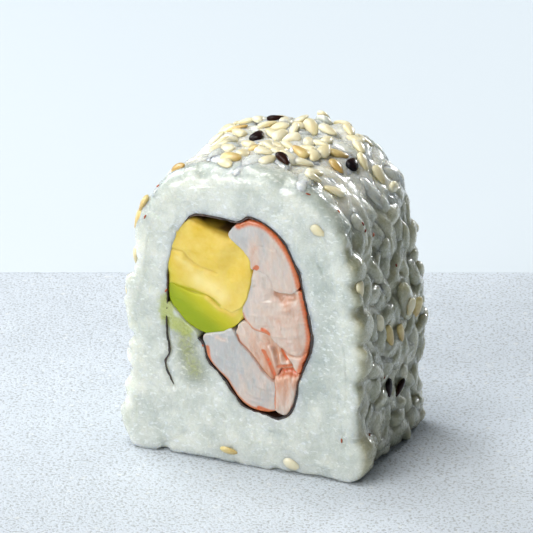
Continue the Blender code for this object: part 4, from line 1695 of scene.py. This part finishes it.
# Where the prawn's coral skin shows.
OUTER_SKIN: Points = ((-0.4, 35.9), (1.1, 36.6), (2.6, 36.6), (4.0, 36.0), (5.4, 34.8), (6.7, 33.2),
                      (7.7, 31.3), (8.3, 29.6), (8.6, 28.2), (9.1, 26.2), (9.6, 24.0), (9.9, 22.2),
                      (10.1, 20.6), (9.8, 18.8), (9.1, 16.7), (8.6, 15.2))
UNDER_SKIN: Points = ((-5.1, 17.2), (-4.8, 15.4), (-3.7, 14.0), (-2.3, 12.8), (-1.4, 11.5), (-0.3, 10.1),
                      (1.4, 9.1), (3.3, 8.8), (4.9, 9.0), (6.4, 8.8))
LOWER_SKIN: Points = ((0.2, 23.0), (0.5, 22.2), (1.1, 21.5), (1.9, 20.9), (2.9, 20.75), (4.1, 20.4))
FOLD_SKIN: Points = ((-0.8, 19.6), (-0.3, 18.6), (1.0, 17.4), (2.1, 16.1), (3.1, 14.8), (4.2, 13.8),
                     (4.8, 13.5))

AVOCADO: tuple[Filling, ...] = (
    Filling("avocado_upper_slice", "avocado_upper", AVOCADO_UPPER,
            Shade((-6.0, 29.5), (-11.2, 24.6), 0.0, 0.42),
            marks=(Mark(((-10.4, 31.0), (-9.6, 30.9), (-8.6, 30.8), (-8.0, 30.0), (-6.8, 29.1),
                         (-5.6, 28.7), (-3.8, 28.3)), 0.20, groove=0.16, tint=0.05),
                   Mark(((-8.8, 29.9), (-7.6, 28.9), (-6.4, 28.4)), 0.35, groove=-0.12, tint=-0.1),
                   Mark(((-10.2, 25.7), (-8.6, 25.4), (-6.2, 24.9), (-4.4, 24.4), (-3.4, 23.6)), 0.30,
                        groove=0.20, tint=0.35),
                   # Painted shadow: the pocket under the seaweed, a deep groove that the material paints near
                   # black.
                   Mark(((-7.4, 36.6), (-5.6, 35.9), (-3.8, 35.2), (-2.0, 34.6)), 0.75, groove=1.1),
                   # Painted highlights: two lit facets of the upper slice, in pale yellow.
                   Mark(((-6.4, 27.0), (-4.6, 26.2), (-3.0, 25.2)), 1.3, skin=0.62),
                   Mark(((-9.6, 29.8), (-8.4, 29.2), (-7.4, 28.3)), 0.5, skin=0.35)),
            setback=0.22, rim=0.15, crown=0.15, swell=0.30, fibre=(1.6, 0.6, 0.05), fibre_turn=-0.55),
    Filling("avocado_lower_slice", "avocado_lower", AVOCADO_LOWER,
            # Its tint runs to deep green towards the bottom: partly the flesh's green near its rind, partly
            # painted shade where the rounded face turns down.
            Shade((-3.0, 24.6), (-6.6, 19.8), 0.30, 1.05),
            marks=(Mark(((-5.2, 24.5), (-4.4, 23.9), (-3.4, 23.1), (-2.4, 22.9), (-1.5, 22.6), (-0.8, 23.1)),
                        0.35, groove=-0.05, tint=-0.25),
                   Mark(((-9.6, 22.4), (-8.4, 21.2), (-7.0, 20.3)), 0.8, tint=0.25)),
            setback=0.24, rim=0.18, crown=0.12, slope=(0.0, -0.03), fibre=(1.6, 0.5, 0.05), fibre_turn=-0.3),
)

PRAWN: tuple[Filling, ...] = (
    Filling("prawn_top_strip", "prawn_top", PRAWN_TOP, Shade((-1.0, 35.0), (3.0, 30.0), 0.05, 0.42),
            marks=(Mark(OUTER_SKIN, 0.72, skin=1.0, tint=0.2),
                   Mark(((2.0, 29.8), (2.3, 30.1)), 0.34, groove=0.10, skin=1.4),
                   Mark(((2.1, 33.1), (1.8, 31.8), (1.8, 30.3)), 0.55, tint=0.35),
                   Mark(((2.0, 33.2), (3.4, 33.3), (4.9, 33.1)), 0.14, groove=0.10),
                   Mark(((4.9, 27.4), (6.2, 27.3), (7.4, 27.4)), 0.22, groove=-0.05, tint=0.2)),
            setback=0.08, rim=0.15, crown=0.20, fibre=(1.8, 0.4, 0.09), fibre_turn=-0.9, ragged=0.10),
    Filling("prawn_middle_strip", "prawn_middle", PRAWN_MIDDLE, Shade((1.0, 27.0), (7.5, 24.5), 0.36, 0.62),
            marks=(Mark(OUTER_SKIN, 0.66, skin=1.0, tint=0.25),
                   Mark(((5.4, 26.7), (6.2, 26.3), (7.4, 26.4)), 0.65, groove=0.55, tint=0.55),
                   Mark(((6.2, 25.8), (7.2, 25.0), (7.8, 24.0)), 0.6, groove=0.12, tint=0.25),
                   Mark(((2.9, 29.2), (3.9, 28.7), (4.4, 27.6)), 0.35, groove=-0.10, tint=-0.05),
                   Mark(LOWER_SKIN, 0.28, skin=0.62, tint=0.3),
                   Mark(((3.1, 21.1), (3.5, 21.0), (4.0, 20.6)), 0.30, groove=-0.12, skin=1.2),
                   Mark(((5.9, 18.6), (6.5, 18.0), (7.0, 17.8), (8.4, 17.7), (9.5, 18.5)), 0.24, groove=0.24,
                        tint=0.35),
                   Mark(((2.6, 24.5), (3.8, 23.2), (5.4, 22.6)), 0.5, groove=0.05, tint=0.12)),
            setback=0.20, rim=0.15, crown=0.30, fibre=(1.8, 0.45, 0.10), fibre_turn=0.2, ragged=0.12),
    Filling("prawn_fold_strip", "prawn_fold", PRAWN_FOLD, Shade((-0.5, 20.5), (5.0, 16.0), 0.55, 0.95),
            marks=(Mark(FOLD_SKIN, 0.26, skin=0.75, tint=0.2),
                   Mark(((3.3, 17.8), (4.1, 16.2), (4.7, 14.7), (4.9, 13.7)), 0.34, groove=0.15, skin=1.2),
                   Mark(((3.2, 17.9), (3.4, 17.7)), 0.34, skin=1.15),
                   Mark(((6.1, 18.4), (6.4, 17.9), (6.7, 17.3)), 0.34, groove=0.15, skin=1.7),
                   Mark(((4.9, 18.4), (5.3, 17.6), (5.5, 16.6)), 0.26, groove=0.22, skin=0.45, tint=0.2),
                   Mark(((4.2, 18.6), (4.7, 17.4), (5.0, 16.0)), 0.24, groove=-0.25, tint=-0.35),
                   Mark(((5.7, 17.6), (5.9, 16.7), (6.9, 16.4)), 0.26, groove=-0.25, tint=-0.30),
                   Mark(((5.3, 15.8), (6.4, 16.1), (7.4, 16.4)), 0.3, groove=0.1, skin=0.9)),
            setback=0.35, rim=0.15, crown=0.25, fibre=(1.4, 0.35, 0.14), fibre_turn=-0.95, ragged=0.16),
    Filling("prawn_lower_strip", "prawn_lower", PRAWN_LOWER, Shade((-4.6, 17.4), (3.2, 12.0), -0.05, 0.30),
            marks=(Mark(UNDER_SKIN, 0.42, skin=0.9, tint=0.2),
                   Mark(((2.6, 9.1), (4.4, 8.8), (5.6, 9.0)), 0.50, groove=0.05, skin=1.1),
                   Mark(FOLD_SKIN, 0.22, skin=0.5),
                   Mark(((-2.4, 18.7), (-3.6, 18.9)), 0.5, skin=0.3, tint=0.4)),
            setback=0.08, rim=0.15, crown=0.20, slope=(0.02, 0.0), fibre=(1.8, 0.4, 0.08), fibre_turn=-0.25),
    Filling("prawn_tip_strip", "prawn_tip", PRAWN_TIP, Shade((6.4, 9.5), (6.8, 15.5), 0.62, 1.0),
            marks=(Mark(((5.5, 15.0), (6.8, 15.4), (7.8, 15.2)), 0.75, groove=0.7, skin=1.05),
                   Mark(((4.9, 13.2), (4.95, 11.5), (5.0, 9.6)), 0.22, skin=0.7),
                   Mark(((6.6, 14.0), (6.6, 12.0), (6.4, 10.4)), 0.35, groove=0.10, tint=0.15),
                   Mark(((7.2, 13.6), (7.5, 12.0), (7.1, 10.2)), 0.30, groove=-0.08, tint=-0.2)),
            setback=0.20, rim=0.15, crown=0.25, fibre=(0.35, 1.6, 0.09)),
)


# ---- seeds and specks


class SeedKind(Enum):
    """The kinds of sesame seed, by the names of their pieces."""

    WHITE = "seeds_white"
    TOASTED = "seeds_toasted"
    BLACK = "seeds_black"


# Seeds that have a place of their own: where each seed's blunt and pointed ends lie.
NAMED_SEEDS: dict[SeedKind, tuple[tuple[Place, Place], ...]] = {
    SeedKind.WHITE: (
        ((4.8, -5.4, 44.7), (7.6, -4.4, 44.4)), ((8.0, -9.0, 44.0), (10.4, -7.4, 43.0)),
        ((8.0, -7.0, 44.3), (9.4, -5.2, 43.4)), ((12.8, -6.0, 40.4), (10.9, -7.6, 41.6)),
        ((-4.2, -9.8, 44.8), (-2.0, -11.4, 44.2)), ((-1.2, -1.8, 45.1), (-1.1, 1.0, 44.9)),
        ((-0.8, 0.3, 45.0), (1.5, -0.9, 45.1)), ((0.6, 1.4, 44.7), (3.0, -1.2, 45.0)),
        ((-0.9, -5.0, 45.2), (1.6, -5.0, 45.1)), ((-2.0, -7.6, 45.3), (-2.2, -5.0, 45.3)),
        ((11.0, 4.8, 42.2), (12.4, 3.3, 41.1)), ((13.0, 5.6, 40.2), (14.4, 5.2, 38.7)),
        ((15.0, 5.2, 37.6), (15.3, 8.0, 36.8)), ((5.0, 3.2, 44.5), (7.0, 2.2, 44.3)),
        ((3.6, 7.8, 44.6), (6.0, 7.2, 44.4)), ((-16.3, -11.0, 30.0), (-16.3, -11.2, 27.6)),
        ((-16.8, -10.8, 24.4), (-16.8, -11.2, 22.2)), ((10.3, -12.4, 36.9), (12.0, -12.2, 35.8)),
        ((15.0, -11.0, 29.6), (15.0, -10.2, 27.0)), ((15.9, -4.5, 22.1), (16.3, -3.6, 19.7)),
        ((18.6, 3.8, 21.9), (18.9, 3.6, 19.9)), ((6.6, -12.3, 1.7), (8.3, -11.9, 1.2)),
    ),
    SeedKind.TOASTED: (
        ((-12.4, -8.5, 41.8), (-9.4, -10.2, 43.3)), ((9.2, -0.4, 43.6), (10.8, -1.2, 42.0)),
        ((-4.0, -9.2, 45.0), (-2.2, -8.8, 45.2)), ((-1.5, -4.4, 45.2), (-2.0, -2.4, 45.2)),
        ((-9.6, 5.5, 43.4), (-7.2, 5.8, 44.3)), ((-15.4, -11.2, 37.3), (-15.6, -11.0, 35.3)),
        ((-15.8, -11.4, 34.9), (-15.7, -11.6, 33.7)), ((17.0, -1.9, 19.5), (17.3, -1.6, 17.2)),
        ((18.5, 1.6, 18.7), (18.7, 2.2, 16.3)), ((19.0, 7.3, 20.7), (19.2, 7.6, 18.3)),
        ((-2.6, -12.3, 1.9), (-1.0, -12.3, 1.7)),
    ),
    SeedKind.BLACK: (
        ((-3.6, 0.0, 45.2), (-4.0, 4.0, 44.9)), ((3.0, -6.2, 45.0), (5.2, -8.2, 44.7)),
        ((11.3, 0.4, 41.7), (10.9, 3.0, 42.2)), ((-4.2, 8.2, 44.6), (-2.6, 9.2, 44.8)),
        ((17.4, -1.7, 11.8), (17.7, -1.4, 9.0)), ((18.5, 2.2, 10.2), (18.8, 1.8, 7.9)),
    ),
}

# Where the red flecks stick.
SPECKS: tuple[Place, ...] = (
    (13.0, -9.8, 39.0), (14.4, -5.7, 35.7), (14.4, -5.5, 34.6), (15.3, -2.1, 33.1), (16.9, 2.9, 27.2),
    (16.4, -7.7, 18.2), (17.2, -9.0, 6.3), (-13.5, -11.5, 39.7), (-10.9, -12.4, 24.7), (15.0, -12.3, 6.5),
    (-13.9, -11.9, 35.0), (9.4, -11.8, 41.2), (-3.0, -12.4, 19.0), (16.6, -3.4, 12.8), (-15.2, 4.0, 38.0),
    (-17.6, 3.0, 17.0), (3.0, 12.3, 40.5), (-9.0, 12.4, 12.0), (11.0, 12.3, 30.0), (-5.0, 12.3, 5.0),
)


@dataclass
class Sesame:
    """Sesame seeds: some in their own places, the rest strewn thickly on the top and thinly on the sides."""

    surface: RiceSurface
    core: RiceCore
    size: Triple = (3.05, 1.85, 0.95)
    lift: float = 0.08
    pressed: float = 0.42
    face: float = -11.6
    spacing: float = 1.75
    seed: int = 31

    def crowding(self, spots: Array) -> Array:
        """Gives the chance that a spot holds a seed: high on the top behind its front edge, low elsewhere.

        Args:
            spots: places on the rice, shape (n, 3).

        Returns:
            The chances.
        """
        x, y, z = spots.T
        crest = eased((z - 37.0) / 6.0)
        front = 0.10 + 0.90 * eased((y + 10.0 - 0.35 * np.maximum(x - 4.0, 0) + 0.2 * (x + 6.0)) / 9.0)
        return (y > -9.0) * (0.02 * (z > 2.5) * (x < 8.0) + 0.58 * crest * front)

    def strewn(self, rng: np.random.Generator) -> list[tuple[SeedKind, Array, Array]]:
        """Picks the seeds that have no place of their own.

        Args:
            rng: random numbers.

        Returns:
            Each seed's kind, place and heading.
        """
        zones = self.core.where(Zone.SIDES, Zone.BACK_RIM, Zone.FRONT_RIM)
        spots = self.core.base.reshape(-1, 3)[self.core.scattered(rng, zones, self.spacing)]
        spots = spots[rng.uniform(size=len(spots)) < self.crowding(spots)]
        named = np.array([np.add(*ends) / 2 for seeds in NAMED_SEEDS.values() for ends in seeds])
        spots = spots[np.sqrt(((spots[:, None] - named[None]) ** 2).sum(-1)).min(1) > 2.0]
        kinds = rng.choice(list(SeedKind), len(spots), p=(0.94, 0.045, 0.015))
        return [(kind, spot, rng.normal(size=3)) for kind, spot in zip(kinds, spots)]

    def build(self, finishes: dict[SeedKind, Material]) -> None:
        """Lays every seed down and makes a piece for each kind. Seeds on the cut face are pressed into it.

        Args:
            finishes: each kind's material.
        """
        rng = np.random.default_rng(self.seed)
        plan = [(kind, np.add(*ends) / 2, np.subtract(*ends[::-1]))
                for kind, seeds in NAMED_SEEDS.items() for ends in seeds]
        plan += self.strewn(rng)
        bead = Bead(rings=8, columns=12, blunt=0.80, taper=0.30, dents=0.03)
        for kind in SeedKind:
            mine = [(spot, heading) for this, spot, heading in plan if this is kind]
            sizes = np.array(self.size) * rng.uniform(0.88, 1.08, (len(mine), 3))
            lifts = [self.lift - self.pressed * (spot[1] < self.face) for spot, _ in mine]
            seats = [self.surface.seat(spot, heading, size[0], lift, rng.normal() * 0.25)
                     for (spot, heading), size, lift in zip(mine, sizes, lifts)]
            points, faces = bead.copies(seats, sizes, np.zeros(len(mine)))
            tint = (rng.uniform(0, 0.6, (len(mine), 1)) + 0.3 + 0.3 * bead.along).ravel()
            hand_over(mesh_object(kind.value, to_row(points), faces, tint=tint), finishes[kind], "seeds")


@dataclass
class Specks:
    """Small red flecks of spice stuck to the rice."""

    surface: RiceSurface
    seed: int = 41

    def build(self, finish: Material) -> None:
        """Makes the flecks.

        Args:
            finish: their material.
        """
        rng = np.random.default_rng(self.seed)
        sizes = rng.uniform((0.35, 0.25, 0.2), (0.75, 0.45, 0.3), (len(SPECKS), 3))
        seats = [self.surface.seat(np.array(place), rng.normal(size=3), 0.6, 0.04) for place in SPECKS]
        bead = Bead(rings=4, columns=7, blunt=0.7, dents=0.25)
        points, faces = bead.copies(seats, sizes, np.zeros(len(seats)))
        tint = np.repeat(rng.uniform(0, 1, len(seats)), bead.size)
        hand_over(mesh_object("specks", to_row(points), faces, tint=tint), finish, "prawn")


# ---- board


@dataclass
class Board:
    """The honed stone board: a square slab with worn edges, its top faintly uneven away from the middle."""

    edge: float = 1.3
    corner: float = 2.0
    uneven: float = 0.05
    even_half: float = 24.0
    step: float = 1.2
    lattice: float = 1.1

    def build(self, finish: Material) -> None:
        """Makes the slab from a rounded square: the prism's near face is the top, the far face the foot.

        Args:
            finish: the stone's material.
        """
        low, high = np.array(BOARD_LOW) / MM, np.array(BOARD_HIGH) / MM
        middle, half = (low + high)[:2] / 2, (high - low)[:2] / 2 - 0.02
        turn = np.linspace(0, 0.5 * np.pi, 7)
        arc = np.stack([np.cos(turn), np.sin(turn)], 1) * self.corner
        corners = []
        for sign_x, sign_y, order in ((1, 1, 1), (-1, 1, -1), (-1, -1, 1), (1, -1, -1)):
            signs = np.array([sign_x, sign_y])
            corners.append((middle + signs * (half - self.corner) + arc * signs)[::order])
        outline = np.vstack(corners)
        sides = []
        for start, end in zip(outline, np.roll(outline, -1, 0)):
            steps = max(1, int(np.linalg.norm(end - start) / self.step))
            sides.append(start + (end - start) * np.linspace(0, 1, steps, endpoint=False)[:, None])
        outline = np.vstack(sides)
        prism = Prism(outline, self.lattice, 0.0, high[2] - low[2], self.edge, walls=4)
        place = np.column_stack([prism.section, np.zeros(len(prism.section))])
        away = eased((np.abs(prism.section - middle).max(1) - self.even_half) / 8.0)
        worn = 0.35 * (0.5 + 0.5 * NOISE.at(place, 3.0, 2)) * (1 - eased(prism.inwards / 1.6))
        pressed = worn + self.uneven * (0.5 + 0.5 * NOISE.at(place, 9.0, 2)) * away
        section, depth, faces = prism.body(pressed, np.zeros(len(prism.section)))
        points = np.column_stack([section, high[2] - depth]) * MM
        slab = mesh_object("stone_board", points, turned_outwards(faces, points))
        hand_over(slab, finish, "stone", "board")


# ---- camera, light and stage


@dataclass(frozen=True)
class Lamp:
    """A square area light that faces the roll."""

    name: str
    place: Place
    size: float
    power: float
    colour: Colour
    aim: Place = (0.0, -0.013, 0.03)

    def build(self) -> None:
        """Hangs the light, its place and size in metres and its power in watts."""
        data = bpy.data.lights.new(self.name, "AREA")
        data.shape = "SQUARE"
        data.size, data.energy, data.color = self.size, self.power, self.colour
        item = bpy.data.objects.new(self.name, data)
        item.location = self.place
        item.rotation_euler = (Vector(self.aim) - Vector(self.place)).to_track_quat("-Z", "Y").to_euler()
        bpy.context.scene.collection.objects.link(item)


LAMPS: tuple[Lamp, ...] = (
    Lamp("key", (-0.85, -0.75, 0.58), 0.9, 12.2, (1.0, 0.99, 0.96)),
    Lamp("sky", (-0.17, 0.02, 0.70), 0.40, 4.2, (1.0, 0.99, 0.95)),
    Lamp("back", (-0.50, 0.50, 0.48), 0.5, 3.8, (0.92, 0.96, 1.0)),
    Lamp("window", (0.34, 0.56, 0.18), 0.10, 1.3, (0.94, 0.97, 1.0)),
    Lamp("glint", (0.50, 0.35, 0.14), 0.04, 0.26, (0.92, 0.96, 1.0)),
    Lamp("spark", (-0.62, -0.60, 0.24), 0.10, 0.6, (1.0, 1.0, 1.0)),
)


@dataclass(frozen=True)
class Studio:
    """The camera and the pale floor."""

    distance: float = 400.0
    elevation: float = math.radians(21.0)
    aim: Place = (-1.3, -ROLL_FORWARD, 25.5)
    lens: float = 191.8
    sky: Colour = (0.84, 0.91, 1.0)
    sky_strength: float = 0.07
    floor_colour: Colour = (0.60, 0.66, 0.71)
    floor_half: float = 6.0

    def camera(self) -> None:
        """Sets the camera in front of the roll, looking down a little."""
        data = bpy.data.cameras.new("camera")
        data.lens, data.sensor_width = self.lens, 36.0
        data.clip_start, data.clip_end = 0.01, 20.0
        item = bpy.data.objects.new("camera", data)
        bpy.context.scene.collection.objects.link(item)
        aim = Vector(self.aim) * MM + Vector((0, 0, BOARD_TOP))
        back = Vector((0, -math.cos(self.elevation), math.sin(self.elevation)))
        item.location = aim + back * self.distance * MM
        item.rotation_euler = (0.5 * math.pi - self.elevation, 0, 0)
        bpy.context.scene.camera = item

    def floor(self) -> None:
        """Lays a pale floor under the board."""
        corners = np.array([(-1, -1, 0), (1, -1, 0), (1, 1, 0), (-1, 1, 0)]) * self.floor_half
        floor = mesh_object("floor", corners, np.array([[0, 1, 2, 3]]))
        material = bpy.data.materials.new("floor")
        material.use_nodes = True
        shader = material.node_tree.nodes["Principled BSDF"]
        shader.inputs["Base Color"].default_value = (*self.floor_colour, 1)
        shader.inputs["Roughness"].default_value = 0.6
        floor.data.materials.append(material)

    def build(self) -> None:
        """Sets up everything that isn't part of the object."""
        self.camera()
        self.floor()
        for lamp in LAMPS:
            lamp.build()
        world = bpy.data.worlds.new("room")
        world.use_nodes = True
        background = world.node_tree.nodes["Background"]
        background.inputs["Color"].default_value = (*self.sky, 1)
        background.inputs["Strength"].default_value = self.sky_strength
        bpy.context.scene.world = world
        bpy.context.scene.view_settings.view_transform = "Standard"


def main() -> None:
    """Builds the pieces in order."""
    logging.basicConfig(level=logging.INFO, format="%(name)s %(message)s")
    Studio().build()
    Board().build(StoneFinish("stone_honed", roughness=0.62, coat=0.0, under_skin=0.0).build())
    rice = RiceFinish("rice_moist", roughness=0.24, coat=1.0, coat_roughness=0.06, specular=0.6,
                      under_skin=1.0, reach=0.0034).build()
    core = RiceCore(Loaf())
    core.build(rice)
    surface = RiceSurface(core)
    LooseRice(surface, core).build(rice)
    Seaweed().build(SeaweedFinish("seaweed_damp", roughness=0.45, under_skin=0.0).build())
    avocado = AvocadoFinish("avocado_flesh", roughness=0.50, coat=0.06, specular=0.35, under_skin=0.5,
                            reach_colours=(1.0, 0.7, 0.2)).build()
    for half, slot in zip(AVOCADO, ("avocado_yellow", "avocado_green")):
        half.build(avocado, slot)
    prawn = PrawnFinish("prawn_flesh", roughness=0.30, coat=0.5, under_skin=0.6,
                        reach_colours=(1.0, 0.55, 0.4)).build()
    for strip in PRAWN:
        strip.build(prawn, "prawn")
    seeds = {
        SeedKind.WHITE: SeedFinish("seed_white", roughness=0.34, under_skin=0.7, reach=0.0011).build(),
        SeedKind.TOASTED: SeedFinish("seed_toasted", under_skin=0.4, reach=0.0006, light=(0.76, 0.64, 0.30),
                                     dark=(0.50, 0.32, 0.09)).build(),
        SeedKind.BLACK: SeedFinish("seed_black", roughness=0.25, coat=0.0, specular=0.10, under_skin=0.0,
                                   light=(0.003, 0.0035, 0.006), dark=(0.026, 0.009, 0.006)).build(),
    }
    Sesame(surface, core).build(seeds)
    Specks(surface).build(SeedFinish("speck_red", under_skin=0.3, reach=0.0003, light=(0.48, 0.12, 0.04),
                                     dark=(0.24, 0.045, 0.02)).build())


if __name__ == "__main__":
    main()
